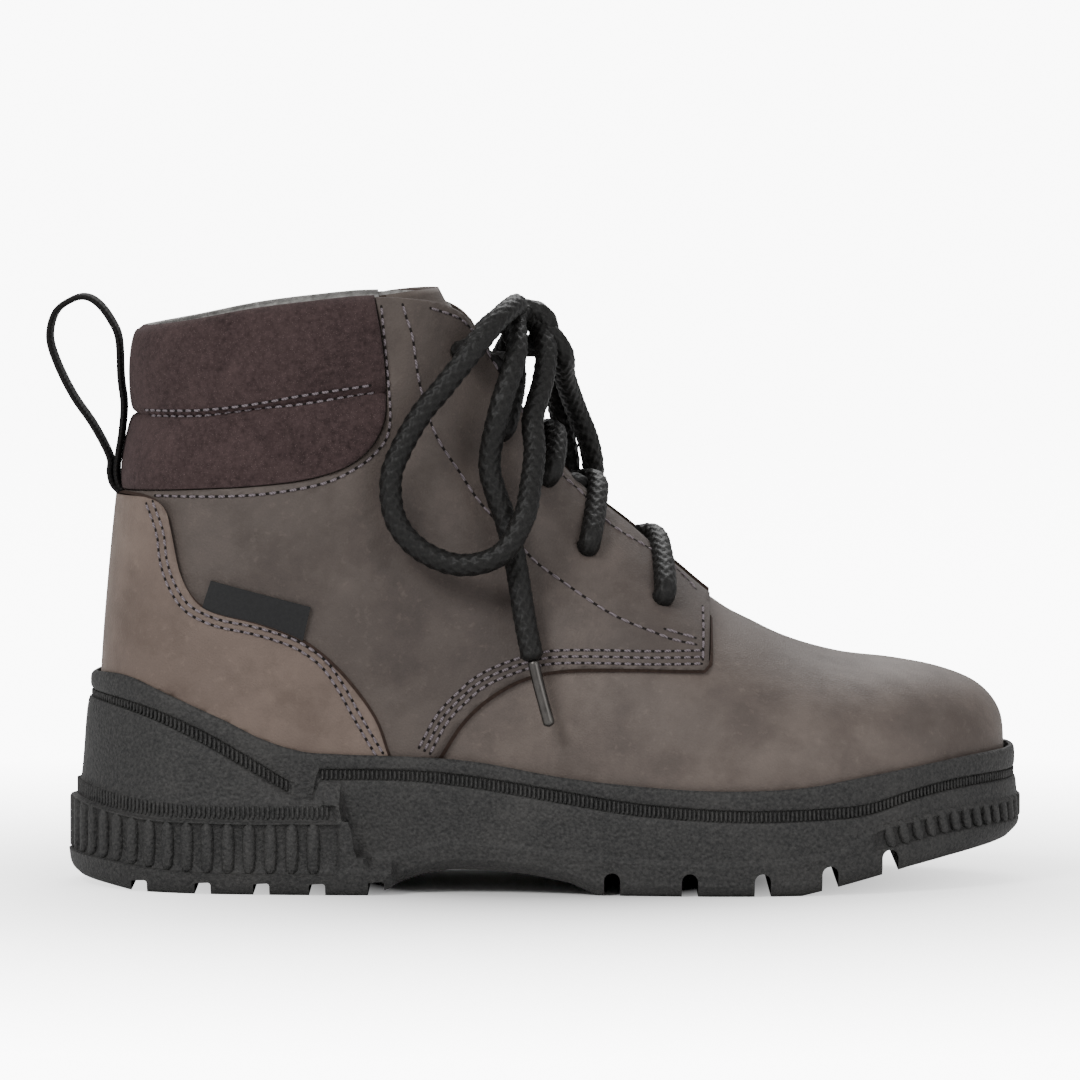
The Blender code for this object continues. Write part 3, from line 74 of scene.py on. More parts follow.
# Columns: under along, under up, feather out on the outer and inner side, front along, front up,
# widest out on the outer and inner side, lean of the front line, where along the section it is
# widest, and how square it is below and above that.
SECTIONS = (
    (0.975, 0.186, -0.101, 0.101, 0.975, 0.227, -0.101, 0.101, 0.101, 0.40, 2.0, 2.0),
    (0.969, 0.169, 0.044, 0.234, 0.971, 0.288, 0.048, 0.238, 0.101, 0.38, 2.0, 2.3),
    (0.947, 0.158, 0.158, 0.329, 0.949, 0.333, 0.163, 0.334, 0.095, 0.36, 2.0, 2.4),
    (0.908, 0.141, 0.278, 0.399, 0.910, 0.361, 0.284, 0.405, 0.089, 0.34, 2.0, 2.3),
    (0.853, 0.123, 0.389, 0.463, 0.860, 0.378, 0.394, 0.468, 0.076, 0.32, 2.0, 2.2),
    (0.789, 0.108, 0.465, 0.500, 0.800, 0.391, 0.470, 0.504, 0.063, 0.30, 2.0, 2.1),
    (0.720, 0.098, 0.504, 0.501, 0.739, 0.422, 0.508, 0.505, 0.051, 0.28, 2.0, 2.0),
    (0.647, 0.098, 0.501, 0.471, 0.677, 0.477, 0.505, 0.475, 0.038, 0.25, 2.0, 2.0),
    (0.569, 0.105, 0.471, 0.425, 0.631, 0.538, 0.475, 0.429, 0.025, 0.22, 2.0, 2.0),
    (0.477, 0.130, 0.424, 0.378, 0.587, 0.605, 0.428, 0.382, 0.013, 0.20, 2.0, 2.0),
    (0.376, 0.164, 0.392, 0.357, 0.548, 0.659, 0.397, 0.362, 0.006, 0.20, 2.0, 2.0),
    (0.266, 0.195, 0.382, 0.367, 0.521, 0.705, 0.387, 0.372, 0.000, 0.22, 2.0, 2.0),
    (0.165, 0.209, 0.350, 0.350, 0.505, 0.744, 0.382, 0.375, 0.000, 0.27, 2.0, 2.0),
    (0.110, 0.214, 0.287, 0.287, 0.498, 0.760, 0.380, 0.376, 0.000, 0.31, 2.0, 2.0),
    (0.074, 0.217, 0.190, 0.190, 0.493, 0.773, 0.377, 0.375, 0.000, 0.34, 2.0, 2.0),
    (0.056, 0.221, 0.092, 0.092, 0.489, 0.784, 0.375, 0.374, 0.000, 0.36, 2.0, 2.0),
    (0.0505, 0.235, 0.000, 0.000, 0.484, 0.796, 0.373, 0.372, 0.000, 0.37, 2.1, 2.0),
    (0.0505, 0.300, 0.000, 0.000, 0.474, 0.822, 0.370, 0.369, 0.000, 0.38, 2.2, 2.0),
    (0.054, 0.410, 0.000, 0.000, 0.460, 0.861, 0.366, 0.365, 0.000, 0.40, 2.2, 2.0),
    (0.060, 0.530, 0.000, 0.000, 0.446, 0.904, 0.360, 0.359, 0.000, 0.42, 2.2, 2.05),
    (0.068, 0.660, 0.000, 0.000, 0.431, 0.946, 0.357, 0.355, 0.000, 0.44, 2.2, 2.1),
    (0.078, 0.788, 0.000, 0.000, 0.416, 0.989, 0.360, 0.357, 0.000, 0.46, 2.2, 2.1),
    (0.081, 0.924, 0.000, 0.000, 0.402, 1.027, 0.365, 0.362, 0.000, 0.47, 2.2, 2.1),
    (0.081, 1.106, 0.000, 0.000, 0.388, 1.068, 0.365, 0.362, 0.000, 0.47, 2.2, 2.1),
)
HEEL_ROW = 16
TOP_ROW = len(SECTIONS) - 1
# The top edge of the boot and the rim of the sole, seen from the side. Columns: along, up.
TOP_LINE = (
    (0.020, 0.936), (0.071, 0.944), (0.136, 0.960), (0.198, 0.979), (0.260, 0.992), (0.326, 1.002),
    (0.381, 0.994), (0.407, 0.979), (0.422, 0.958), (0.439, 0.925),
)
RIM = (
    (0.020, 0.356), (0.047, 0.364), (0.074, 0.360), (0.106, 0.339), (0.168, 0.295), (0.209, 0.262),
    (0.250, 0.241), (0.290, 0.236), (0.372, 0.231), (0.433, 0.222), (0.514, 0.199), (0.595, 0.185),
    (0.676, 0.178), (0.757, 0.182), (0.818, 0.197), (0.880, 0.213), (0.933, 0.225), (0.990, 0.233),
)
THROAT = ((0.640, 0.066), (0.600, 0.076), (0.520, 0.092), (0.450, 0.120), (0.400, 0.150), (0.360, 0.172))
EYELET_RADIUS = 0.0021
EYELETS = ((0.617, 0.487), (0.541, 0.573), (0.497, 0.688), (0.450, 0.770), (0.407, 0.906))
# Soft folds of the worn-in leather. Columns: start along and up, end along and up, depth and width
# in millimetres. A depth below zero is a ridge.
CREASES = (
    (0.690, 0.470, 0.640, 0.300, 0.35, 3.0),
    (0.715, 0.440, 0.690, 0.260, -0.30, 3.5),
    (0.560, 0.350, 0.500, 0.260, 0.25, 3.0),
    (0.245, 0.640, 0.330, 0.560, 0.35, 4.0),
    (0.215, 0.600, 0.320, 0.520, -0.30, 4.0),
    (0.300, 0.460, 0.420, 0.420, 0.30, 4.5),
    (0.420, 0.560, 0.500, 0.480, 0.30, 4.0),
    (0.105, 0.600, 0.100, 0.420, -0.20, 3.0),
    (0.120, 0.440, 0.200, 0.360, 0.30, 4.0),
)


def along(share):
    return (share - HEEL_REST) * SOLE_LENGTH


def up(share):
    return share * BOOT_HEIGHT


def seen(rows):
    """Points of a side-view edge in metres."""
    return [(along(a), up(b)) for a, b in rows]


def through(rows, places, before=None):
    """A smooth curve through the rows of a table, read at row numbers."""
    rows = np.asarray(rows, float)
    places = np.clip(np.asarray(places, float), 0, len(rows) - 1)
    first = 2 * rows[0] - rows[1] if before is None else np.asarray(before, float)
    padded = np.vstack([first, rows, 2 * rows[-1] - rows[-2]])
    index = np.minimum(places.astype(int), len(rows) - 2)
    part = (places - index)[..., None]
    a, b, c, d = (padded[index + k] for k in range(4))
    bend = (2 * a - 5 * b + 4 * c - d) * part**2 + (3 * b - a - 3 * c + d) * part**3
    return 0.5 * (2 * b + (c - a) * part + bend)


def smooth(points, per_span=8):
    places = np.linspace(0, len(points) - 1, (len(points) - 1) * per_span + 1)
    return through(points, places)


def unit(vectors):
    return vectors / np.linalg.norm(vectors, axis=-1, keepdims=True)


def run_along(path):
    """How far along a path each of its points lies."""
    return np.concatenate([[0], np.cumsum(np.linalg.norm(np.diff(path, axis=0), axis=1))])


def beside(points, distance):
    """An open side-view line moved to its left."""
    points = np.asarray(points, float)
    run = unit(np.gradient(points, axis=0))
    return points + distance * np.stack([-run[:, 1], run[:, 0]], axis=1)


def read(rows, share, column=1):
    curve = through(rows, np.linspace(0, len(rows) - 1, 8 * len(rows)))
    return np.interp(share, curve[:, 0], curve[:, column])


def section_rows(places):
    second = SECTIONS[1]
    mirrored = list(second)
    mirrored[2:4] = -second[3], -second[2]
    mirrored[6:8] = -second[7], -second[6]
    mirrored[5] = 2 * SECTIONS[0][5] - second[5]
    return through(SECTIONS, places, before=mirrored)


def last_points(places, shares, side):
    """The outside of the upper: fan rows, shares from the under line to the front line, side -1 or 1."""
    rows = section_rows(places)
    feather = side * rows[..., 2 if side < 0 else 3]
    widest = side * rows[..., 6 if side < 0 else 7]
    lean, peak, low, high = (rows[..., k] for k in (8, 9, 10, 11))
    rise = (1 - (1 - np.clip(shares / peak, 0, 1)) ** low) ** (1 / low)
    fall = (1 - np.clip((shares - peak) / (1 - peak), 0, 1) ** high) ** (1 / high)
    out = np.where(shares < peak, feather + (widest - feather) * rise, lean + (widest - lean) * fall)
    x = along(rows[..., 0] + (rows[..., 4] - rows[..., 0]) * shares)
    z = up(rows[..., 1] + (rows[..., 5] - rows[..., 1]) * shares)
    return np.stack([x, out * BALL_WIDTH, z], axis=-1)


def fold_depth(points):
    """How far the soft folds pull the leather in at each point."""
    depth = np.zeros(points.shape[:-1])
    for a, b, c, d, deep, width in CREASES:
        start = np.array((along(a), up(b)))
        run = np.array((along(c), up(d))) - start
        at = points[..., [0, 2]] - start
        part = np.clip((at @ run) / (run @ run), 0, 1)
        off = np.linalg.norm(at - part[..., None] * run, axis=-1)
        ends = np.sin(np.pi * (0.12 + 0.76 * part))
        depth += 0.001 * deep * ends * np.exp(-((off / (0.001 * width)) ** 2))
    return depth


def deselect():
    bpy.ops.object.select_all(action="DESELECT")


def grid_piece(name, points, material, closed=False):
    """A sheet that starts as a grid primitive and is laid over rows of points, with a UV map in metres."""
    points = np.asarray(points, float)
    rows, columns = points.shape[:2]
    deselect()
    bpy.ops.mesh.primitive_grid_add(x_subdivisions=columns - 1, y_subdivisions=rows - 1, size=1)
    obj = bpy.context.object
    obj.name = name
    obj.data.vertices.foreach_set("co", points.reshape(-1))
    across = np.linalg.norm(np.diff(points, axis=1), axis=2).mean(axis=0)
    down = np.linalg.norm(np.diff(points, axis=0), axis=2).mean(axis=1)
    u = np.concatenate([[0], np.cumsum(across)])
    v = np.concatenate([[0], np.cumsum(down)])
    index = np.empty(len(obj.data.loops), int)
    obj.data.loops.foreach_get("vertex_index", index)
    uv = np.stack([u[index % columns], v[index // columns]], axis=1)
    obj.data.uv_layers.active.data.foreach_set("uv", uv.reshape(-1))
    bm = bmesh.new()
    bm.from_mesh(obj.data)
    bmesh.ops.remove_doubles(bm, verts=bm.verts, dist=2e-6)
    if closed:
        bmesh.ops.remove_doubles(bm, verts=bm.verts, dist=2e-5)
    bmesh.ops.recalc_face_normals(bm, faces=bm.faces)
    bm.to_mesh(obj.data)
    bm.free()
    obj.data.update()
    obj.data.materials.append(material)
    obj.data.polygons.foreach_set("use_smooth", [True] * len(obj.data.polygons))
    return obj


def select(*objects):
    """Selects these objects alone, the first of them active."""
    deselect()
    for obj in objects:
        obj.select_set(True)
    bpy.context.view_layer.objects.active = objects[0]


def apply(obj, name):
    select(obj)
    bpy.ops.object.modifier_apply(modifier=name)


def bridge(bm, rings):
    """Joins rings of vertices one after another and closes both ends."""
    count = len(rings[0])
    for low, high in zip(rings, rings[1:]):
        for k in range(count):
            bm.faces.new((low[k], low[(k + 1) % count], high[(k + 1) % count], high[k]))
    bm.faces.new(rings[0][::-1])
    bm.faces.new(rings[-1])


def piece_of(name, bm, *materials):
    """A new object made of a bmesh, which is freed."""
    mesh = bpy.data.meshes.new(name)
    bm.to_mesh(mesh)
    bm.free()
    obj = bpy.data.objects.new(name, mesh)
    bpy.context.scene.collection.objects.link(obj)
    for material in materials:
        obj.data.materials.append(material)
    return obj


def cut(obj, tool, operation="DIFFERENCE"):
    """A Boolean that is applied at once."""
    modifier = obj.modifiers.new("Cut", "BOOLEAN")
    modifier.operation = operation
    modifier.solver = "EXACT"
    modifier.object = tool
    apply(obj, "Cut")
    bpy.data.objects.remove(tool)


def prism(outline, low, high, axis="Y"):
    """A cutter: an outline drawn out along Y, or along Z where it is seen from above."""
    bm = bmesh.new()
    if axis == "Y":
        ring = [bm.verts.new((a, low, b)) for a, b in outline]
        way = (0, high - low, 0)
    else:
        ring = [bm.verts.new((a, b, low)) for a, b in outline]
        way = (0, 0, high - low)
    drawn = bmesh.ops.extrude_face_region(bm, geom=[bm.faces.new(ring)])
    bmesh.ops.translate(bm, verts=[v for v in drawn["geom"] if isinstance(v, bmesh.types.BMVert)], vec=way)
    bmesh.ops.recalc_face_normals(bm, faces=bm.faces)
    return piece_of("cutter", bm)


def top_cutter():
    line = [tuple(p) for p in smooth(seen(TOP_LINE))]
    over = 2 * BOOT_HEIGHT
    back = along(-0.2)
    return prism(
        [(back, line[0][1]), *line, (along(0.60), up(0.80)), (along(0.60), over), (back, over)], -0.1, 0.1
    )


def throat_cutter(end, extra=0.0):
    edge = smooth([(along(a), out * BALL_WIDTH + extra) for a, out in THROAT])
    first = edge[0][1]
    half = [(end - 0.006 * (1 - math.cos(t)), first * math.sin(t)) for t in np.linspace(0.15, math.pi / 2, 8)]
    half += [tuple(p) for p in edge]
    return prism(half + [(x, -y) for x, y in reversed(half)], -0.1, 0.3, axis="Z")


def grid_normals(points):
    """The way out of a grid of points, up to its sign."""
    normal = np.cross(np.gradient(points, axis=1), np.gradient(points, axis=0))
    return normal / np.maximum(np.linalg.norm(normal, axis=2), 1e-12)[..., None]


ROWS = np.concatenate([np.linspace(0, HEEL_ROW, 130), np.linspace(HEEL_ROW, TOP_ROW, 56)[1:]])
SHARES = 0.5 - 0.5 * np.cos(np.linspace(0, math.pi, 44))


def last_grid(rows, offset):
    """Rows of points over the last from the outer feather line round to the inner one."""
    where, reach = np.meshgrid(rows, SHARES, indexing="ij")
    outer, inner = (last_points(where, reach, side) for side in (-1, 1))
    points = np.concatenate([outer, inner[:, ::-1][:, 1:]], axis=1)
    normal = np.cross(np.gradient(points, axis=1), np.gradient(points, axis=0))
    length = np.linalg.norm(normal, axis=2)[..., None]
    middle = points.mean(axis=(0, 1))
    normal *= np.sign(((points - middle) * normal).sum())
    normal = np.where(length > 1e-9, normal / np.maximum(length, 1e-12), np.array((1.0, 0, 0)))
    return points + normal * (offset - fold_depth(points))[..., None]


def tree_from(*objects):
    """The surface of some pieces, for rays to be cast on."""
    bm = bmesh.new()
    for obj in objects:
        bm.from_mesh(obj.data)
    found = BVHTree.FromBMesh(bm)
    bm.free()
    return found


# The last's own surface, which the panels' edges, the zip and the laces are laid on by rays.
surface = grid_piece("last", last_grid(ROWS, 0.0), bpy.data.materials.new("plain"))
last_tree = tree_from(surface)
bpy.data.objects.remove(surface)


def on_last(x, z, side, lift=0.0):
    """The place on the leather seen from the side at x and z, and its normal."""
    hit, normal, _, _ = last_tree.ray_cast(Vector((x, side * 0.1, z)), Vector((0, -side, 0)))
    if hit is None:
        hit, normal, _, _ = last_tree.find_nearest(Vector((x, side * 0.02, z)))
    if normal.y * side < 0:
        normal = -normal
    return hit + normal * lift, normal


def tree_group(name, inputs, outputs):
    """An empty shader node group with named values going in and coming out."""
    group = bpy.data.node_groups.new(name, "ShaderNodeTree")
    for label, kind, value in inputs:
        socket = group.interface.new_socket(name=label, in_out="INPUT", socket_type=kind)
        socket.default_value = value
    for label, kind in outputs:
        group.interface.new_socket(name=label, in_out="OUTPUT", socket_type=kind)
    return group, group.nodes.new("NodeGroupInput"), group.nodes.new("NodeGroupOutput")


def feed(tree, socket, value):
    """Gives a socket a value, or links it to the socket that feeds it."""
    if isinstance(value, bpy.types.NodeSocket):
        tree.links.new(value, socket)
    else:
        socket.default_value = value


def put(tree, kind, settings=None, **inputs):
    """A node with its settings and its inputs."""
    node = tree.nodes.new("ShaderNode" + kind)
    for key, value in (settings or {}).items():
        setattr(node, key, value)
    for key, value in inputs.items():
        feed(tree, node.inputs[key.replace("_", " ")], value)
    return node


def math_node(tree, operation, *values):
    node = tree.nodes.new("ShaderNodeMath")
    node.operation = operation
    for socket, value in zip(node.inputs, values):
        feed(tree, socket, value)
    return node.outputs[0]


def mix(tree, factor, a, b):
    node = tree.nodes.new("ShaderNodeMix")
    node.data_type = "RGBA"
    for number, value in ((0, factor), (6, a), (7, b)):
        feed(tree, node.inputs[number], value)
    return node.outputs[2]


def ramp(tree, value, low, high, start=0.0, end=1.0):
    """A value carried from low..high to start..end, and held beyond them."""
    limits = dict(From_Min=low, From_Max=high, To_Min=start, To_Max=end)
    return put(tree, "MapRange", Value=value, **limits).outputs["Result"]


def noise(tree, place, scale, detail=2.0, roughness=0.5, distortion=0.0):
    settings = dict(Scale=scale, Detail=detail, Roughness=roughness, Distortion=distortion)
    return put(tree, "TexNoise", Vector=place, **settings).outputs[0]


def wave(tree, vector, direction, scale, distortion):
    """Bands across a direction, as a value."""
    bands = put(
        tree, "TexWave", {"bands_direction": direction}, Vector=vector, Scale=scale, Distortion=distortion
    )
    return bands.outputs[1]


def dress(tree, shader, colour, strength, distance, height):
    """Links a colour, and the bump of a height, to a material's shader."""
    tree.links.new(colour, shader.inputs["Base Color"])
    bump = put(tree, "Bump", Strength=strength, Distance=distance, Height=height)
    tree.links.new(bump.outputs[0], shader.inputs["Normal"])


def rgb(red, green, blue):
    """A screen colour from 0 to 255 as a linear one."""
    shares = [c / 255 for c in (red, green, blue)]
    return (*(((c + 0.055) / 1.055) ** 2.4 if c > 0.04 else c / 12.92 for c in shares), 1)


def surface_material(name, roughness, **settings):
    material = bpy.data.materials.new(name)
    material.use_nodes = True
    tree = material.node_tree
    shader = tree.nodes["Principled BSDF"]
    shader.inputs["Roughness"].default_value = roughness
    shader.inputs["Specular IOR Level"].default_value = 0.28
    for key, value in settings.items():
        shader.inputs[key.replace("_", " ")].default_value = value
    place = tree.nodes.new("ShaderNodeTexCoord").outputs["Object"]
    return material, tree, shader, place


# Waxed nubuck: broad clouds where the wax has pulled, fine scratches and a faint pebbled grain.
nubuck, ends, result = tree_group(
    "nubuck",
    [("Place", "NodeSocketVector", (0, 0, 0)), ("Colour", "NodeSocketColor", (0.1, 0.09, 0.08, 1)),
     ("Pale", "NodeSocketColor", (0.2, 0.18, 0.16, 1)), ("Dark", "NodeSocketColor", (0.05, 0.04, 0.04, 1)),
     ("Wear", "NodeSocketFloat", 0.5)],
    [("Colour", "NodeSocketColor"), ("Height", "NodeSocketFloat"), ("Roughness", "NodeSocketFloat")],
)
place = ends.outputs["Place"]
clouds = noise(nubuck, place, 24.0, detail=5.0, roughness=0.6, distortion=0.4)
patches = noise(nubuck, place, 75.0, detail=5.0, roughness=0.65)
specks = noise(nubuck, place, 520.0, detail=3.0, roughness=0.7)
pores = put(nubuck, "TexVoronoi", {"feature": "DISTANCE_TO_EDGE"}, Vector=place, Scale=1300.0).outputs[0]
ridges = {"noise_type": "RIDGED_MULTIFRACTAL"}
lines = put(nubuck, "TexNoise", ridges, Vector=place, Scale=60.0, Detail=5.0).outputs[0]
pull = math_node(nubuck, "MULTIPLY", ramp(nubuck, clouds, 0.42, 0.72), ends.outputs["Wear"])
colour = mix(nubuck, pull, ends.outputs["Colour"], ends.outputs["Pale"])
colour = mix(nubuck, ramp(nubuck, patches, 0.54, 0.34, 0.0, 0.42), colour, ends.outputs["Dark"])
colour = mix(nubuck, ramp(nubuck, specks, 0.58, 0.75, 0.0, 0.30), colour, ends.outputs["Pale"])
colour = mix(nubuck, ramp(nubuck, lines, 1.1, 1.9, 0.0, 0.22), colour, ends.outputs["Pale"])
nubuck.links.new(colour, result.inputs["Colour"])
height = math_node(nubuck, "MULTIPLY_ADD", ramp(nubuck, pores, 0.0, 0.28), 0.5, specks)
height = math_node(nubuck, "MULTIPLY_ADD", patches, 1.6, height)
nubuck.links.new(height, result.inputs["Height"])
nubuck.links.new(ramp(nubuck, clouds, 0.35, 0.7, 0.62, 0.50), result.inputs["Roughness"])


def leather_look(name, colour, pale, dark, wear=0.6):
    material, tree, shader, place = surface_material(name, 0.58, Sheen_Weight=0.03, Sheen_Roughness=0.4)
    effect = tree.nodes.new("ShaderNodeGroup")
    effect.node_tree = nubuck
    for key, value in (("Colour", colour), ("Pale", pale), ("Dark", dark), ("Wear", wear)):
        effect.inputs[key].default_value = value
    tree.links.new(place, effect.inputs["Place"])
    tree.links.new(effect.outputs["Colour"], shader.inputs["Base Color"])
    tree.links.new(effect.outputs["Roughness"], shader.inputs["Roughness"])
    bump = put(tree, "Bump", Strength=0.22, Distance=0.0004, Height=effect.outputs["Height"])
    tree.links.new(bump.outputs[0], shader.inputs["Normal"])
    return material


leather = leather_look("grey_brown_nubuck", rgb(78, 70, 66), rgb(112, 101, 94), rgb(56, 48, 45))
vamp_leather = leather_look("vamp_nubuck", rgb(90, 81, 76), rgb(124, 112, 104), rgb(66, 57, 53))
counter_leather = leather_look("counter_nubuck", rgb(106, 92, 84), rgb(136, 120, 109), rgb(76, 63, 56))

raw_edge, tree, shader, place = surface_material("raw_leather_edge", 0.8)
fibres = noise(tree, place, 900.0, detail=4.0)
dress(tree, shader, mix(tree, fibres, rgb(40, 30, 26), rgb(72, 56, 48)), 0.5, 0.0003, fibres)

# The lining: a grey wool pile, in soft tufts over a knitted ground.
wool, tree, shader, place = surface_material("grey_wool_pile", 1.0, Sheen_Weight=0.4, Sheen_Roughness=0.6)
tufts = noise(tree, place, 420.0, detail=5.0, roughness=0.75, distortion=1.2)
curls = put(tree, "TexVoronoi", {"feature": "SMOOTH_F1"}, Vector=place, Scale=520.0).outputs[0]
pile = mix(tree, ramp(tree, tufts, 0.3, 0.7), rgb(118, 116, 113), rgb(196, 194, 190))
colour = mix(tree, ramp(tree, curls, 0.2, 0.6, 0.0, 0.45), pile, rgb(84, 82, 80))
height = math_node(tree, "ADD", tufts, curls)
dress(tree, shader, colour, 0.9, 0.0010, height)


def shell(name, rows, offset, thickness, materials):
    """A wall over the last: its outside, its inside and its rim, each with a material of its own."""
    obj = grid_piece(name, last_grid(rows, offset + thickness), materials[0])
    for material in materials[1:]:
        obj.data.materials.append(material)
    modifier = obj.modifiers.new("Wall", "SOLIDIFY")
    modifier.thickness = thickness
    modifier.offset = -1
    modifier.material_offset = 1 if len(materials) > 2 else 0
    modifier.material_offset_rim = len(materials) - 1
    apply(obj, "Wall")
    return obj


def sort_faces(obj, offset, thickness, skins, edge):
    """Gives the cut faces, which stand square to the leather, the raw edge's material."""
    for face in obj.data.polygons:
        hit, normal, _, _ = last_tree.find_nearest(face.center)
        lean = abs(face.normal.dot(normal))
        lift = (face.center - hit).dot(normal)
        if lean < 0.6 and -0.0001 < lift - offset < thickness + 0.0001:
            face.material_index = edge
        elif lift - offset < thickness * 0.5:
            face.material_index = skins[1]
        else:
            face.material_index = skins[0]


upper = shell("upper_skin", ROWS, -WALL, WALL, [vamp_leather, wool, raw_edge])
COLLAR_SEAM = (
    (-0.020, 0.671), (0.059, 0.671), (0.088, 0.673), (0.147, 0.678), (0.198, 0.683), (0.250, 0.693),
    (0.290, 0.711), (0.316, 0.738), (0.333, 0.779), (0.338, 0.829), (0.335, 0.913), (0.326, 1.004),
)


def collar_cutter(shrink=0.0):
    seam = beside(smooth(seen(COLLAR_SEAM)), shrink)
    over = 2 * BOOT_HEIGHT
    return prism([*map(tuple, seam), (seam[-1][0], over), (seam[0][0], over)], -0.1, 0.1)


cut(upper, collar_cutter(0.0014))
cut(upper, top_cutter())
cut(upper, throat_cutter(along(0.655)))


def eyelet_cutter():
    """Ten round punches, square to the facings."""
    deselect()
    made = []
    for side in (-1, 1):
        for share, height in EYELETS:
            point, normal = on_last(along(share), up(height), side)
            bpy.ops.mesh.primitive_cylinder_add(
                vertices=24, radius=EYELET_RADIUS, depth=0.012, location=point,
                rotation=normal.to_track_quat("Z", "Y").to_euler(),
            )
            made.append(bpy.context.object)
    select(*made)
    bpy.ops.object.join()
    bpy.ops.object.transform_apply(location=True, rotation=True, scale=True)
    return bpy.context.object


cut(upper, eyelet_cutter())
sort_faces(upper, -WALL, WALL, (0, 1), 2)
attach(upper, BODY)
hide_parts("upper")


# Quarters, counter and tab: 1.1 mm leather panels laid over the upper, each cut square and left raw
# at the edge, then sewn down. The blank rubber tab is caught under the counter's edge.
COUNTER_EDGE = (
    (-0.020, 0.664), (0.059, 0.664), (0.093, 0.662), (0.110, 0.645), (0.117, 0.606), (0.126, 0.539),
    (0.141, 0.493), (0.162, 0.471), (0.208, 0.452), (0.249, 0.425), (0.280, 0.387), (0.305, 0.342),
    (0.326, 0.291), (0.339, 0.232),
)
VAMP_SEAM = (
    (0.389, 0.225), (0.412, 0.284), (0.438, 0.326), (0.473, 0.360), (0.514, 0.376), (0.575, 0.379),
    (0.661, 0.376),
)
QUARTER_FRONT = ((0.666, 0.385), (0.669, 0.480), (0.670, 0.620))
TAB_CORNERS = ((0.158, 0.526), (0.260, 0.482), (0.252, 0.425), (0.147, 0.470))
ZIP_LINE = ((0.340, 0.42), (0.387, 1.10))
ZIP_WIDTH = 0.0085
TOOTH_PITCH = 0.0011


def rim_line(first, last, lift):
    return [(along(a), up(read(RIM, a)) + lift) for a in np.linspace(first, last, 40)]


def zip_cutter(half):
    low, high = np.array(seen(ZIP_LINE))
    run = (high - low) / np.linalg.norm(high - low)
    side = np.array((run[1], -run[0]))
    turns = np.linspace(0, math.pi, 13)
    end = [tuple(low + half * (math.cos(t) * side - math.sin(t) * run)) for t in turns]
    return prism([*end, tuple(high - side * half), tuple(high + side * half)], GAP, 0.1)


def panel(name, outline, sides, rows, offset, cutters, materials, thickness=LEATHER):
    obj = shell(name, rows, offset, thickness, materials)
    cut(obj, prism(outline, *sides), "INTERSECT")
    for tool in cutters:
        cut(obj, tool)
    sort_faces(obj, offset, thickness, (0, 0), len(materials) - 1)
    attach(obj, BODY)
    return obj


seam = [tuple(p) for p in smooth(seen(VAMP_SEAM))]
front = seen(QUARTER_FRONT)
low_edge = [p for p in rim_line(-0.02, 0.389, -0.001) if p[0] < seam[0][0]]
quarter_outline = low_edge + seam + front + [(front[-1][0], 0.3), (low_edge[0][0], 0.3)]
quarter_rows = ROWS[ROWS > 6.2]
quarters = []
for name, sides in (("quarter_outer", (-0.1, -GAP / 2)), ("quarter_inner", (GAP / 2, 0.1))):
    tools = [top_cutter(), eyelet_cutter(), throat_cutter(along(0.700), -LEATHER), collar_cutter()]
    if name == "quarter_inner":
        tools.append(zip_cutter(ZIP_WIDTH / 2))
    made = panel(name + "_skin", quarter_outline, sides, quarter_rows, GAP, tools, [leather, raw_edge])
    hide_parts(name)
    quarters.append(made)

edge = [tuple(p) for p in smooth(seen(COUNTER_EDGE))]
low_edge = [p for p in rim_line(-0.02, 0.345, -0.001) if p[0] < edge[-1][0]]
counter = panel(
    "heel_counter_skin", low_edge + edge[::-1], (-0.1, 0.1), ROWS[ROWS > 9.0], LEATHER + 2 * GAP, [],
    [counter_leather, raw_edge],
)
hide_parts("heel_counter")

tab_rubber, tree, shader, place = surface_material("tab_rubber", 0.5)
fine = noise(tree, place, 1500.0, detail=2.0)
dress(tree, shader, mix(tree, fine, rgb(26, 26, 27), rgb(38, 38, 39)), 0.2, 0.0002, fine)
side_tab = panel(
    "side_tab_skin", seen(TAB_CORNERS), (-0.1, 0.0), ROWS[(ROWS > 9) & (ROWS < 20)], LEATHER + GAP,
    [], [tab_rubber, tab_rubber], thickness=0.0010,
)
select(side_tab)
bpy.ops.object.shade_smooth_by_angle(angle=math.radians(30))
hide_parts("side_tab")


def cut_edge(name, line, lift, sides, flare):
    """The slanted raw edge of a panel, seen from the side as a dark band along its outline."""
    outside = beside(line, -flare)
    bm = bmesh.new()
    for side in sides:
        rings = []
        for inner, outer in zip(line, outside):
            top = on_last(*inner, side, lift + 0.92 * LEATHER)[0]
            low = on_last(*inner, side, lift)[0]
            foot = on_last(*outer, side, lift)[0]
            rings.append([bm.verts.new(p) for p in (top, foot, low)])
        bridge(bm, rings)
    bmesh.ops.recalc_face_normals(bm, faces=bm.faces)
    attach(piece_of(name, bm, raw_edge), BODY)


cut_edge("counter_cut_edge", smooth(seen(COUNTER_EDGE))[::-1], LEATHER + 2 * GAP, (-1, 1), 0.0006)
blunt_end = [(front[0][0], z) for z in np.linspace(front[0][1], up(0.455), 12)]
cut_edge("quarter_cut_edge", seam + blunt_end, GAP, (-1, 1), 0.0009)


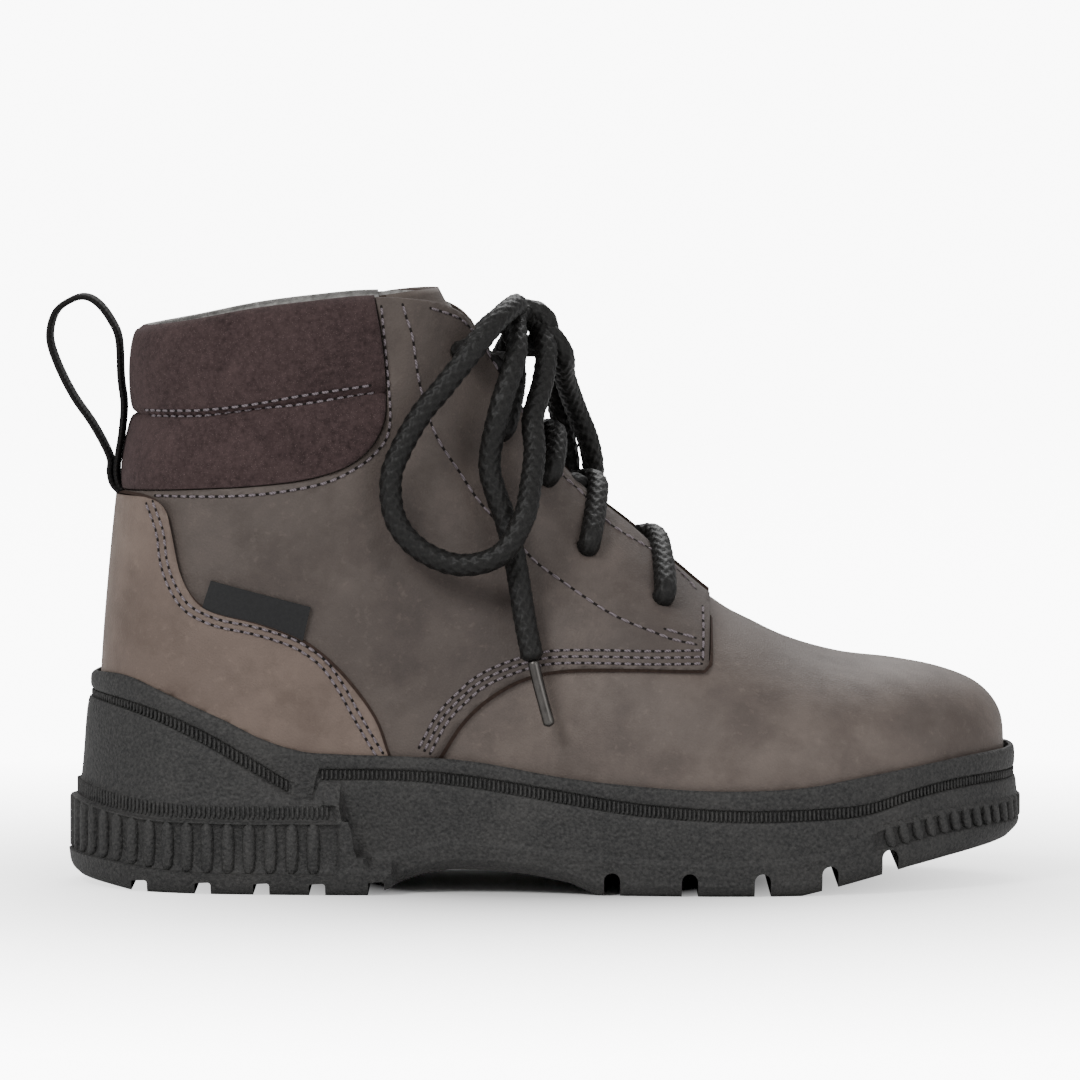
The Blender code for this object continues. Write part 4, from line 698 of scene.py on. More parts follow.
# Stitches: lilac-grey thread, each one a short bead that dips into a needle hole at both ends. They are
# laid along the seams on both sides of the boot, and down through the leather they lie on. Each needle
# hole is a flat dark patch of painted shade.
THREAD = 0.00062
SINGLE_PITCH, DOUBLE_PITCH, TRIPLE_PITCH = 0.0031, 0.0023, 0.00225
EYESTAY_SEAM = (
    (402, 304), (406, 318), (412, 337), (416, 366), (421, 392), (431, 425), (441, 446), (459, 473),
    (474, 496), (488, 513), (523, 550), (537, 564), (552, 575), (575, 591), (604, 610), (630, 623),
    (656, 633), (671, 639), (697, 645),
)
EYESTAY_END = ((664, 629), (680, 634), (697, 639))
FACING_EDGE = (
    (430, 307), (455, 316), (467, 325), (482, 344), (508, 389), (535, 434), (561, 474), (582, 494),
    (608, 523), (650, 550), (668, 563), (684, 577), (697, 591),
)
FRONT_EDGE = ((703, 606), (703, 630), (702, 656))
QUARTER_SEAM = (
    (436, 756), (453, 725), (472, 705), (489, 691), (516, 679), (550, 670), (598, 669), (647, 670),
    (702, 670),
)
COLLAR_ROW = (
    (381, 306), (387, 372), (390, 413), (387, 436), (377, 451), (359, 466), (326, 482), (275, 492),
    (224, 496), (153, 497),
)
COUNTER_ROW = (
    (151, 502), (162, 532), (166, 561), (174, 584), (189, 605), (216, 618), (250, 625), (279, 633),
    (303, 643), (326, 660), (343, 683), (357, 708), (372, 734), (383, 752),
)


def placed(rows, depth=-0.028):
    """Places read off the side view, where 4.44 counts are a millimetre, at a depth from the middle."""
    scale = 4440.0 * 2.0 / (2.0 + depth)
    return [(0.0684 + (x - 540) / scale, 0.190 - (y - 37.2) / scale) for x, y in rows]


thread_look, tree, shader, place = surface_material("lilac_grey_thread", 0.7)
twist = wave(tree, place, "DIAGONAL", 900.0, 1.0)
dress(tree, shader, mix(tree, twist, rgb(92, 84, 88), rgb(136, 126, 131)), 0.4, 0.0002, twist)
# The needle holes' colour: near-black painted shade for the hollow of each hole.
hole_shade_look, tree, shader, place = surface_material("painted_hole_shade", 0.95)
colour = mix(tree, noise(tree, place, 2000.0), rgb(18, 15, 14), rgb(34, 29, 27))
tree.links.new(colour, shader.inputs["Base Color"])


# Columns: share of a stitch's length from its middle, share of its width, and lift.
BEAD_RINGS = ((-0.5, 0.35, -0.5), (-0.36, 0.85, 0.0), (0, 1.0, 0.25), (0.36, 0.85, 0.0), (0.5, 0.35, -0.5))


def bead(bm, middle, way, normal, length, width, sides=6):
    """One stitch: a bead with tapered ends that sinks a little at both."""
    across = way.cross(normal).normalized()
    rings = []
    for part, size, lift in BEAD_RINGS:
        centre = middle + way * (part * length) + normal * (lift * width * 0.5)
        ring = []
        for k in range(sides):
            turn = 2 * math.pi * k / sides
            offset = across * math.cos(turn) + normal * math.sin(turn)
            ring.append(bm.verts.new(centre + offset * (size * width / 2)))
        rings.append(ring)
    bridge(bm, rings)


def needle(bm, place, way, normal, size):
    """A needle hole: a flat dark patch of painted shade just over the leather, pulled long by the thread."""
    across = way.cross(normal).normalized()
    ring = []
    for k in range(8):
        turn = 2 * math.pi * k / 8
        offset = (way * math.cos(turn) * 1.3 + across * math.sin(turn)) * size
        ring.append(bm.verts.new(place + offset + normal * 0.00005))
    bm.faces.new(ring).material_index = 1


def sew(name, seams, tree_of, sides=(-1, 1)):
    """Stitches along side-view seams, laid where a ray from the side meets the piece."""
    bm = bmesh.new()
    for points, pitch in seams:
        fine = smooth(points, 12)
        run = run_along(fine)
        for side in sides:
            steps = np.linspace(0, run[-1], 40)
            hits = []
            for at in steps:
                x, z = (np.interp(at, run, fine[:, k]) for k in (0, 1))
                hit, normal, _, _ = tree_of.ray_cast(Vector((x, side * 0.1, z)), Vector((0, -side, 0)))
                if hit is not None and hit.y * side > 0.002:
                    hits.append((at, *hit))
            if len(hits) < 3:
                continue
            hits = np.array(hits)
            real = run_along(hits[:, 1:])
            count = max(2, int(round(real[-1] / pitch)))
            for number in range(count):
                parts = (np.array((0.14, 0.5, 0.86)) + number) / count
                spots = np.interp(parts * real[-1], real, hits[:, 0])
                found = []
                for at in spots:
                    x, z = (np.interp(at, run, fine[:, k]) for k in (0, 1))
                    hit, normal, _, _ = tree_of.ray_cast(Vector((x, side * 0.1, z)), Vector((0, -side, 0)))
                    found.append((hit, normal))
                if any(hit is None for hit, _ in found):
                    continue
                (a, _), (middle, normal), (b, _) = found
                if (b - a).length > 2 * pitch or (b - a).length < 1e-5:
                    continue
                way = (b - a).normalized()
                bead(bm, (a + b) / 2 + normal * THREAD * 0.12, way, normal, (b - a).length, THREAD)
                for hole in (a - way * 0.0002, b + way * 0.0002):
                    needle(bm, hole, way, normal, THREAD * 0.52)
    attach(piece_of(name, bm, thread_look, hole_shade_look), BODY)


quarter_seam = placed(QUARTER_SEAM)
quarter_seam = smooth(quarter_seam, 3)
triple_row = [(beside(quarter_seam, inset), TRIPLE_PITCH) for inset in (0.0015, 0.0029, 0.0043)]
sew(
    "quarter_stitches",
    triple_row + [
        (placed(EYESTAY_SEAM), SINGLE_PITCH), (placed(EYESTAY_END), SINGLE_PITCH),
        (placed(FACING_EDGE, -0.016), SINGLE_PITCH), (placed(FRONT_EDGE, -0.016), SINGLE_PITCH),
        (placed(COLLAR_ROW), DOUBLE_PITCH),
    ],
    tree_from(*quarters),
)
counter_row = placed(COUNTER_ROW)
sew(
    "counter_stitches",
    [(counter_row, TRIPLE_PITCH), (beside(smooth(counter_row, 3), -0.0016), TRIPLE_PITCH)],
    tree_from(counter),
)


# Collar: suede over foam, in two soft rolls parted by a double row of stitches, with the wool pile
# turned over its top edge. It is open at the front, where the facings begin.
COLLAR_BULGE = 0.0024
COLLAR_PAD = 0.0045
COLLAR_CHANNEL = ((0.040, 0.800), (0.135, 0.802), (0.190, 0.811), (0.245, 0.826), (0.330, 0.842))
suede, tree, shader, place = surface_material(
    "dark_brown_suede", 1.0, Sheen_Weight=0.16, Sheen_Roughness=0.35,
)
shader.inputs["Sheen Tint"].default_value = rgb(190, 170, 170)
nap = noise(tree, place, 700.0, detail=5.0, roughness=0.8)
brushed = noise(tree, place, 38.0, detail=4.0, roughness=0.6, distortion=1.5)
flecks = put(tree, "TexVoronoi", Vector=place, Scale=2100.0).outputs[0]
colour = mix(tree, ramp(tree, nap, 0.35, 0.68), rgb(44, 33, 33), rgb(74, 59, 59))
colour = mix(tree, ramp(tree, brushed, 0.42, 0.66, 0.0, 0.35), colour, rgb(84, 68, 67))
colour = mix(tree, ramp(tree, flecks, 0.2, 0.05, 0.0, 0.5), colour, rgb(136, 118, 116))
height = math_node(tree, "MULTIPLY_ADD", brushed, 1.5, nap)
dress(tree, shader, colour, 0.55, 0.0005, height)

levels = np.concatenate([np.linspace(0, 0.5, 27), np.linspace(0.5, 1, 27)[1:]])
columns = 0.5 - 0.5 * np.cos(np.linspace(0, 0.74 * math.pi, 60))
fan = np.linspace(17, TOP_ROW, 900)
seam_line = np.array(smooth(seen(COLLAR_SEAM[:7]), 3))
channel = np.array(smooth(seen(COLLAR_CHANNEL), 3))
top = np.array(smooth(seen(TOP_LINE[:7]), 3))
grids = []
for side in (-1, 1):
    rows = np.empty((len(levels), len(columns), 3))
    for k, column in enumerate(columns):
        path = last_points(fan, np.full_like(fan, column), side)
        low = np.interp(path[:, 0], seam_line[:, 0], seam_line[:, 1]) - 0.0018
        middle = np.interp(path[:, 0], channel[:, 0], channel[:, 1])
        high = np.interp(path[:, 0], top[:, 0], top[:, 1])
        for j, level in enumerate(levels):
            part = 2 * level
            aim = low + (middle - low) * part if part <= 1 else middle + (high - middle) * (part - 1)
            place_on = float(np.interp(0, path[:, 2] - aim, fan))
            rows[j, k] = last_points(np.array([place_on]), np.array([column]), side)[0]
    grids.append(rows)
points = np.concatenate([grids[1][:, ::-1], grids[0][:, 1:]], axis=1)
normal = grid_normals(points)
middle = len(levels) // 2
if normal[middle, 5, 1] * points[middle, 5, 1] < 0:
    normal = -normal
part = (2 * levels) % 1
part[-1] = 1
roll = np.clip(1 - (2 * part - 1) ** 2, 0, 1) ** 0.42
spread = run_along(points[20])
near_channel = np.exp(-(((levels - 0.5) / 0.07) ** 2))
pucker = 0.00018 * np.sin(spread * 2 * math.pi / 0.0031)[None, :] * near_channel[:, None]
lumps = 0.00035 * np.sin(spread * 130 + 1.0)[None, :] * np.sin(levels * 9 + 0.6)[:, None] * roll[:, None]
out = 0.0001 + COLLAR_BULGE * roll[:, None] + pucker + lumps
back = 0.0021 * (1 - roll[:, None]) - COLLAR_PAD
skins = [points + normal * out[..., None], points + normal * back[..., None]]
edge_turn = np.array([
    points[-1] - normal[-1] * inwards + (0, 0, lift)
    for inwards, lift in ((0.0005, 0.00048), (0.0015, 0.0006), (0.0028, 0.00042))
])
ring = np.concatenate([skins[0], edge_turn, skins[1][::-1]])
collar = grid_piece("collar_pad", ring, suede)
bm = bmesh.new()
bm.from_mesh(collar.data)
bmesh.ops.holes_fill(bm, edges=[e for e in bm.edges if e.is_boundary], sides=0)
bmesh.ops.recalc_face_normals(bm, faces=bm.faces)
bm.to_mesh(collar.data)
bm.free()
collar.data.materials.append(wool)
cut(collar, collar_cutter(GAP), "INTERSECT")
for face in collar.data.polygons:
    hit, nearby, _, _ = last_tree.find_nearest(face.center)
    face.material_index = 1 if (face.center - hit).dot(nearby) < -0.0018 else 0
    face.use_smooth = True
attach(collar, BODY)
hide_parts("collar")
upper_row = placed(((142, 412), (199, 410), (250, 404), (301, 395), (370, 385)))
lower_row = placed(((148, 418), (204, 416), (250, 409), (301, 404), (375, 392)))
sew("collar_stitches", [(upper_row, DOUBLE_PITCH), (lower_row, DOUBLE_PITCH)], tree_from(collar))


# Tongue and footbed: a leather tongue with a wool back under the facings, and a felt footbed that
# lies on the sole.
TONGUE_ROWS = (7.3, 22.0)
TONGUE_EDGE = (0.90, 0.82)
TONGUE_GAP = 0.0009
TONGUE_PAD = 0.0028
tongue_rows = np.linspace(*TONGUE_ROWS, 70)
reach = np.linspace(*TONGUE_EDGE, len(tongue_rows))
half = []
for side in (-1, 1):
    part = reach[:, None] + (1 - reach[:, None]) * np.sin(np.linspace(0, math.pi / 2, 16))[None]
    half.append(last_points(tongue_rows[:, None], part, side))
points = np.concatenate([half[0], half[1][:, ::-1][:, 1:]], axis=1)
normal = grid_normals(points)
if normal[35, 15, 0] < 0:
    normal = -normal
sag = 0.0004 * np.sin(np.linspace(0, 5 * math.pi, len(tongue_rows)))[:, None, None]
tongue = grid_piece("tongue_pad", points - normal * (WALL + TONGUE_GAP + sag), vamp_leather)
tongue.data.materials.append(wool)
tongue.data.materials.append(raw_edge)
if tongue.data.polygons[len(tongue.data.polygons) // 2].normal.x < 0:
    tongue.data.flip_normals()
modifier = tongue.modifiers.new("Wall", "SOLIDIFY")
modifier.thickness = TONGUE_PAD
modifier.offset = -1
modifier.material_offset = 1
modifier.material_offset_rim = 2
apply(tongue, "Wall")
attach(tongue, BODY)
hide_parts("tongue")

felt, tree, shader, place = surface_material("grey_felt", 1.0, Sheen_Weight=0.3)
fluff = noise(tree, place, 600.0, detail=5.0, roughness=0.8)
dress(tree, shader, mix(tree, fluff, rgb(96, 95, 93), rgb(150, 149, 146)), 0.6, 0.0005, fluff)
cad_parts["insole"].data.materials.clear()
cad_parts["insole"].data.materials.append(felt)


# Pull loop: a woven tape folded to a loop and caught in the back seam, black with a brown face.
LOOP_ROUTE = (
    (0.0600, 0.666), (0.0525, 0.680), (0.0495, 0.700), (0.0490, 0.7265), (0.0330, 0.778), (0.0113, 0.831),
    (-0.0053, 0.887), (-0.0125, 0.931), (-0.0063, 0.972), (0.0102, 0.993), (0.0247, 0.998),
    (0.0381, 0.986), (0.0505, 0.959), (0.0588, 0.926), (0.0609, 0.860), (0.0640, 0.815), (0.0619, 0.769),
    (0.0578, 0.7265), (0.0563, 0.700), (0.0590, 0.678), (0.0650, 0.667),
)
LOOP_WIDTH = 0.014
LOOP_THICKNESS = 0.00144
webbing, tree, shader, place = surface_material("black_webbing", 0.75)
uv = tree.nodes.new("ShaderNodeUVMap").outputs[0]
weave = wave(tree, uv, "Y", 330.0, 0.6)
cross = wave(tree, uv, "X", 420.0, 0.6)
cloth = math_node(tree, "MULTIPLY", weave, cross)
dress(tree, shader, mix(tree, cloth, rgb(10, 9, 9), rgb(34, 30, 28)), 0.7, 0.0003, cloth)
route = through(seen(LOOP_ROUTE), np.linspace(0, len(LOOP_ROUTE) - 1, 150))
profile = []
for turn in np.linspace(0, 2 * math.pi, 41):
    wide, thick = math.cos(turn), math.sin(turn)
    wide = LOOP_WIDTH / 2 * math.copysign(abs(wide) ** 0.35, wide)
    profile.append((wide, LOOP_THICKNESS / 2 * math.copysign(abs(thick) ** 0.55, thick)))
run = unit(np.gradient(route, axis=0))
rows = []
for (x, z), (a, b) in zip(route, run):
    rows.append([(x - b * depth, wide, z + a * depth) for wide, depth in profile])
loop = grid_piece("pull_loop_tape", rows, webbing, closed=True)
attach(loop, BODY)
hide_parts("pull_loop")


# Zip on the inner side: a woven tape with two rows of moulded teeth, behind the slot of the quarter.
# The slider and its hinged pull are dark metal.
low, high = (np.array(p) for p in seen(ZIP_LINE))
zip_run = (high - low) / np.linalg.norm(high - low)
zip_blank = [(low[0] + half, low[1] - 0.01) for half in (-0.02, 0.02)]
zip_blank += [(high[0] + half, high[1]) for half in (0.02, -0.02)]
zip_tape = panel(
    "zip_tape_skin", zip_blank,
    (0.0, 0.1), ROWS[ROWS > 7], GAP, [top_cutter()], [webbing, webbing], thickness=0.0005,
)
cut(zip_tape, zip_cutter(ZIP_WIDTH / 2 - GAP), "INTERSECT")
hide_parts("zip_tape")
dark_metal, tree, shader, place = surface_material("dark_metal", 0.35, Metallic=1.0)
worn = noise(tree, place, 300.0, detail=4.0)
tree.links.new(mix(tree, worn, rgb(70, 68, 66), rgb(112, 109, 106)), shader.inputs["Base Color"])
tree.links.new(ramp(tree, worn, 0.3, 0.7, 0.28, 0.45), shader.inputs["Roughness"])
bm = bmesh.new()
length = np.linalg.norm(high - low)
for number in range(int(length / TOOTH_PITCH)):
    x, z = low + zip_run * (TOOTH_PITCH * number + 0.001)
    if z > up(0.975):
        break
    place_on, normal = on_last(x, z, 1, GAP + 0.0006)
    rise = Vector((zip_run[0], 0, zip_run[1]))
    rise = (rise - normal * rise.dot(normal)).normalized()
    across = rise.cross(normal).normalized()
    side = 1 if number % 2 else -1
    middle = place_on + across * (side * 0.0009) + normal * 0.0003
    for vert in bmesh.ops.create_cube(bm, size=1.0)["verts"]:
        a, b, c = vert.co
        narrow = 1 - 0.3 * abs(c + 0.5)
        vert.co = middle + across * (a * 0.0026) + rise * (b * 0.0007 * narrow) + normal * (c * 0.0009)
teeth = piece_of("zip_teeth", bm, dark_metal)
modifier = teeth.modifiers.new("Round", "BEVEL")
modifier.width = 0.0001
apply(teeth, "Round")
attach(teeth, BODY)
for name in ("zip_slider", "zip_pull"):
    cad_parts[name].data.materials.clear()
    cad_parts[name].data.materials.append(dark_metal)


# Laces: one round braided cord in black, crossed up the throat through plain punched eyelets and
# tied in a bow. Each half leaves the crossings at the knot, makes its loop and ends in a metal tip.
LACE = 0.0052
PATH_POINTS = 130
KNOT = Vector((0.0665, -0.0010, 0.1266))
braid, tree, shader, place = surface_material("black_braid", 0.5)
# The plait height that tube stores as the braid attribute paints the grooves near-black as painted shade and
# the crests paler as a painted highlight.
plait_shade_and_highlight = put(tree, "Attribute", {"attribute_name": "braid"}).outputs["Fac"]
fuzz = noise(tree, place, 1800.0, detail=3.0)
colour = mix(tree, plait_shade_and_highlight, rgb(2, 2, 2), rgb(25, 24, 23))
colour = mix(tree, ramp(tree, fuzz, 0.45, 0.7, 0.0, 0.5), colour, rgb(38, 37, 35))
dress(tree, shader, colour, 0.4, 0.0003, fuzz)


def even(points, step):
    """A smooth route through chosen points, with a point every step."""
    fine = through(points, np.linspace(0, len(points) - 1, 60 * len(points)))
    run = run_along(fine)
    at = np.linspace(0, run[-1], max(4, int(run[-1] / step)))
    return np.stack([np.interp(at, run, fine[:, k]) for k in range(3)], axis=1), run[-1]


def tube(name, points, diameter, material, step=0.00033, sides=44, plaits=7, depth=0.2):
    """A cord along a route, its surface raised in crossing plaits, with rounded ends."""
    route, length = even(points, step)
    way = unit(np.gradient(route, axis=0))
    start = np.cross(way[0], (0.3, 0.2, 1.0))
    start /= np.linalg.norm(start)
    rings, raised = [], []
    turn = np.linspace(0, 2 * math.pi, sides, endpoint=False)
    for k, (centre, forward) in enumerate(zip(route, way)):
        start = start - forward * (start @ forward)
        start /= np.linalg.norm(start)
        other = np.cross(forward, start)
        at = length * k / (len(route) - 1)
        wave = plaits / (diameter * 0.5) * at * 0.80
        lift = 0.7 * np.cos(plaits * turn)
        height = np.maximum(np.cos(plaits * turn + wave) + lift, np.cos(plaits * turn - wave) - lift) / 1.7
        taper = min(1.0, math.sqrt(min(at, length - at) / (diameter * 0.25) + 0.04))
        radius = diameter / 2 * taper * (1 - depth * (1 - height) / 2)
        round_it = np.cos(turn)[:, None] * start + np.sin(turn)[:, None] * other
        rings.append(centre + radius[:, None] * round_it)
        raised.append((height + 1) / 2)
    bm = bmesh.new()
    bridge(bm, [[bm.verts.new(p) for p in ring] for ring in rings])
    bmesh.ops.recalc_face_normals(bm, faces=bm.faces)
    obj = piece_of(name, bm, material)
    # The plait height is kept as the braid attribute, from which the lace material paints shade into the
    # grooves and a highlight onto the crests.
    obj.data.attributes.new("braid", "FLOAT", "POINT").data.foreach_set("value", np.concatenate(raised))
    obj.data.polygons.foreach_set("use_smooth", [True] * len(obj.data.polygons))
    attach(obj, BODY)
    return obj, route[np.linspace(0, len(route) - 1, PATH_POINTS).astype(int)].tolist(), length


def crest(number):
    """The place on the boot's front line that is nearest to an eyelet's row."""
    found = []
    for row in (math.floor(number), math.ceil(number)):
        share, height = EYELETS[row]
        front_line = last_points(np.linspace(6, TOP_ROW, 600), np.ones(600), -1)
        slope = unit(np.gradient(front_line[:, [0, 2]], axis=0))
        off = np.abs(((front_line[:, [0, 2]] - (along(share), up(height))) * slope).sum(axis=1))
        found.append(Vector(front_line[int(off.argmin())]))
    return (found[0] + found[1]) / 2


def eyelet(number, side):
    share, height = EYELETS[number]
    return on_last(along(share), up(height), side)


SIDE_NAMES = {-1: "outer", 1: "inner"}
strands = []
forward = Vector((0.7, 0, 0.7)).normalized()
for number in range(len(EYELETS) - 1):
    for side in (-1, 1):
        hole, normal = eyelet(number, side)
        far, far_normal = eyelet(number + 1, -side)
        near, over = crest(number + 0.20), crest(number + 0.80)
        ridge = crest(number + 0.5) + forward * (0.0022 if side < 0 else -0.0014)
        lead = (near - hole).normalized()
        points = [
            hole - normal * 0.0050, hole - normal * 0.0005, hole + normal * 0.0034 + lead * 0.0012,
            hole.lerp(near, 0.62) + (normal + forward).normalized() * 0.0038, ridge,
            far.lerp(over, 0.62) + forward * 0.0006, far - far_normal * 0.0052,
        ]
        strands.append(tube(f"lace_strand_{number}_{SIDE_NAMES[side]}", points, LACE, braid)[0])
leads = {}
for side in (-1, 1):
    hole, normal = eyelet(4, side)
    end = KNOT + Vector((-0.0060, 0.0030 * side, 0.0006))
    points = [
        hole - normal * 0.0050, hole - normal * 0.0005, hole + normal * 0.0034 + Vector((0.0012, 0, 0.0004)),
        hole.lerp(end, 0.5) + normal * 0.0040 + Vector((0, 0, 0.0010)), end,
    ]
    strands.append(tube(f"lace_lead_{SIDE_NAMES[side]}", points, LACE, braid)[0])
    leads[side] = end
select(*strands)
bpy.ops.object.join()
crossings = bpy.context.object
crossings.name = "lace_crossings_braid"
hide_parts("lace_crossings")

LACE_ROUTES = {
    "outer": (
        (0.0630, -0.0112, 0.1302), (0.0590, -0.0218, 0.1272), (0.0530, -0.0278, 0.1200),
        (0.0468, -0.0300, 0.1123), (0.0420, -0.0306, 0.1065), (0.0375, -0.0315, 0.0986),
        (0.0353, -0.0322, 0.0920), (0.0364, -0.0328, 0.0831), (0.0419, -0.0335, 0.0765),
        (0.0507, -0.0345, 0.0732), (0.0596, -0.0362, 0.0756), (0.0647, -0.0340, 0.0833),
        (0.0664, -0.0292, 0.0910), (0.0672, -0.0240, 0.0982), (0.0668, -0.0195, 0.1050),
        (0.0690, -0.0140, 0.1130), (0.0698, -0.0080, 0.1200), (0.0684, -0.0026, 0.1246),
        (0.0654, -0.0026, 0.1276), (0.0630, -0.0086, 0.1270), (0.0630, -0.0200, 0.1190),
        (0.0596, -0.0262, 0.1080), (0.0572, -0.0262, 0.0960), (0.0585, -0.0270, 0.0890),
        (0.0607, -0.0280, 0.0829), (0.0629, -0.0300, 0.0740), (0.0651, -0.0335, 0.0607),
        (0.0669, -0.0360, 0.0518),
    ),
    "inner": (
        (0.0652, 0.0086, 0.1284), (0.0632, 0.0160, 0.1240), (0.0595, 0.0215, 0.1170),
        (0.0565, 0.0240, 0.1070), (0.0555, 0.0260, 0.0960), (0.0570, 0.0275, 0.0860),
        (0.0620, 0.0285, 0.0790), (0.0690, 0.0280, 0.0780), (0.0740, 0.0260, 0.0840),
        (0.0750, 0.0225, 0.0930), (0.0730, 0.0185, 0.1040), (0.0713, 0.0125, 0.1135),
        (0.0690, 0.0066, 0.1206), (0.0684, 0.0012, 0.1244), (0.0706, -0.0034, 0.1234),
        (0.0736, -0.0026, 0.1188), (0.0740, 0.0050, 0.1136), (0.0765, 0.0130, 0.1060),
        (0.0795, 0.0170, 0.0980), (0.0805, 0.0215, 0.0900), (0.0785, 0.0262, 0.0800),
        (0.0750, 0.0285, 0.0700), (0.0718, 0.0310, 0.0600), (0.0695, 0.0332, 0.0515),
    ),
}
AGLETS = {
    "outer": ((0.0668, -0.0359, 0.0522), (0.0682, -0.0371, 0.0464), (0.0706, -0.0387, 0.0376)),
    "inner": ((0.0695, 0.0331, 0.0519), (0.0689, 0.0346, 0.0460), (0.0681, 0.0365, 0.0370)),
}
wrap = []
for turn in np.linspace(-0.6, 2 * math.pi + 0.9, 15):
    slide = 0.0016 * (turn / math.pi - 1)
    wrap.append(KNOT + Vector((0.0040 * math.cos(turn) - 0.0004, slide, 0.0040 * math.sin(turn) - 0.0020)))
knot = tube("lace_knot_wrap", wrap, LACE, braid)[0]
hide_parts("lace_knot")
for which, side in (("outer", -1), ("inner", 1)):
    route = [leads[side] + Vector((0.0015, 0, 0.0006)), *map(Vector, LACE_ROUTES[which])]
    piece, path, length = tube("lace_" + which, route, LACE, braid)
    tip = tube("aglet_tip_" + which, AGLETS[which], 0.0026, dark_metal, sides=20, depth=0.0)[0]
    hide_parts("lace_loop_" + which, "lace_end_" + which)
    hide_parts("aglet_" + which)
    tuple(path[0])
    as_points(path)


# Sole: one moulding of black foamed rubber that cups the upper, with a rim bead, a knurled groove, a
# heel panel and strut, upright ribs round heel and toe, and a lugged tread.
RIM_WALL = 0.0026
BEAD = 0.0008
GROOVE = 0.0009
TREAD_ROUND = 0.0024
RIB_DEPTH = 0.0011
# Columns: along, groove top, groove bottom, panel bottom, band bottom, rib bottom.
HEEL_LINES = (
    (0.000, 0.335, 0.320, 0.188, 0.158, 0.057), (0.045, 0.329, 0.312, 0.170, 0.140, 0.050),
    (0.095, 0.311, 0.290, 0.157, 0.129, 0.040), (0.147, 0.277, 0.252, 0.153, 0.127, 0.034),
    (0.199, 0.230, 0.204, 0.153, 0.126, 0.034), (0.240, 0.190, 0.168, 0.153, 0.127, 0.034),
    (0.270, 0.172, 0.161, 0.153, 0.127, 0.034), (0.360, 0.172, 0.161, 0.153, 0.127, 0.034),
)
# Columns: along, groove top, groove bottom, ledge.
FORE_LINES = (
    (0.250, 0.212, 0.190, 0.076), (0.339, 0.211, 0.190, 0.078), (0.411, 0.203, 0.180, 0.098),
    (0.514, 0.177, 0.153, 0.082), (0.595, 0.157, 0.133, 0.069), (0.698, 0.146, 0.123, 0.066),
    (0.790, 0.149, 0.126, 0.080), (0.830, 0.155, 0.133, 0.114), (0.880, 0.177, 0.157, 0.134),
    (0.930, 0.191, 0.171, 0.147), (1.000, 0.196, 0.178, 0.155),
)
TREAD_LINE = (
    (0.000, 0.020), (0.050, 0.008), (0.080, 0.000), (0.322, 0.000), (0.341, 0.012), (0.362, 0.027),
    (0.382, 0.036), (0.402, 0.041), (0.443, 0.040), (0.484, 0.033), (0.524, 0.020), (0.553, 0.000),
    (0.760, 0.000), (0.798, 0.014), (0.828, 0.026), (0.870, 0.043), (0.912, 0.057), (0.956, 0.070),
    (1.000, 0.086),
)
# How far each line stands out behind and ahead of the step, and where along the sole it steps.
PANEL_TOP = (0.0007, 0.0002, 0.262)
PANEL_BOTTOM = (0.0020, 0.0005, 0.290)
BAND = (0.0026, 0.0005, 0.300)
BASE_TOP = (0.0048, 0.0012, 0.315)
BASE_BOTTOM = (0.0050, 0.0010, 0.342)
STEP_LENGTH = 0.007
# The strut's raised face: along from and to, and how far it stands out, at each of four lines.
STRUT = ((0.250, 0.264, 0.0012), (0.270, 0.296, 0.0020), (0.282, 0.308, 0.0019), (0.284, 0.311, 0.0018))
RIB_GROUND = 0.0014
GROOVE_STOP = (0.236, 0.268)
HEEL_RIBS_END = 0.291
TOE_RIBS_START = 0.833
TOE_RIB_HEIGHT = 0.0054
NOTCH_HALF = 0.0018
HEEL_NOTCH_DEPTH = 0.0027
FORE_NOTCH_DEPTH = 0.0052
SIDE_LINES = 17
STATIONS = 380
RIB_PITCH = 0.0048
RIB_WIDTH = 0.0029
TOE_RIB_PITCH = 0.0037
TOE_RIB_WIDTH = 0.0023
BAND_PITCH = 0.0011
BAND_WIDTH = 0.0007
KNURL_PITCH = 0.0010
KNURL_WIDTH = 0.00062
HEEL_NOTCHES = (0.084, 0.150, 0.210, 0.267, 0.327)
FORE_NOTCHES = (0.567, 0.646, 0.720, 0.789, 0.851)

foam, tree, shader, place = surface_material("black_foam", 0.62)
grains = put(tree, "TexVoronoi", {"feature": "SMOOTH_F1"}, Vector=place, Scale=1500.0).outputs[0]
grit = noise(tree, place, 1300.0, detail=3.0, roughness=0.6)
dust = noise(tree, place, 45.0, detail=4.0)
colour = mix(tree, ramp(tree, grit, 0.35, 0.7), rgb(40, 40, 40), rgb(64, 63, 62))
colour = mix(tree, ramp(tree, dust, 0.5, 0.75, 0.0, 0.35), colour, rgb(80, 78, 76))
height = math_node(tree, "ADD", grains, grit)
dress(tree, shader, colour, 0.6, 0.0005, height)

side_curves = [through(lines, np.linspace(0, len(lines) - 1, 90)) for lines in (HEEL_LINES, FORE_LINES)]
rim_curve = through(RIM, np.linspace(0, len(RIM) - 1, 160))
tread_x, tread_z = zip(*TREAD_LINE)


def line_height(part, share, column):
    """The height of a line of the heel (0) or the forefoot (1) at a share of the length."""
    return up(np.interp(share, side_curves[part][:, 0], side_curves[part][:, column]))


def stepped(lines, share, behind=None, ahead=None):
    low, high, step = lines
    low = low if behind is None else behind
    high = high if ahead is None else ahead
    part = np.clip((share - step) / STEP_LENGTH, 0, 1)
    return low + (high - low) * part * part * (3 - 2 * part)


def raised(strut, share):
    first, last, height = strut
    return height * np.clip((share - first) / 0.005, 0, 1) * np.clip((last - share) / 0.005, 0, 1)


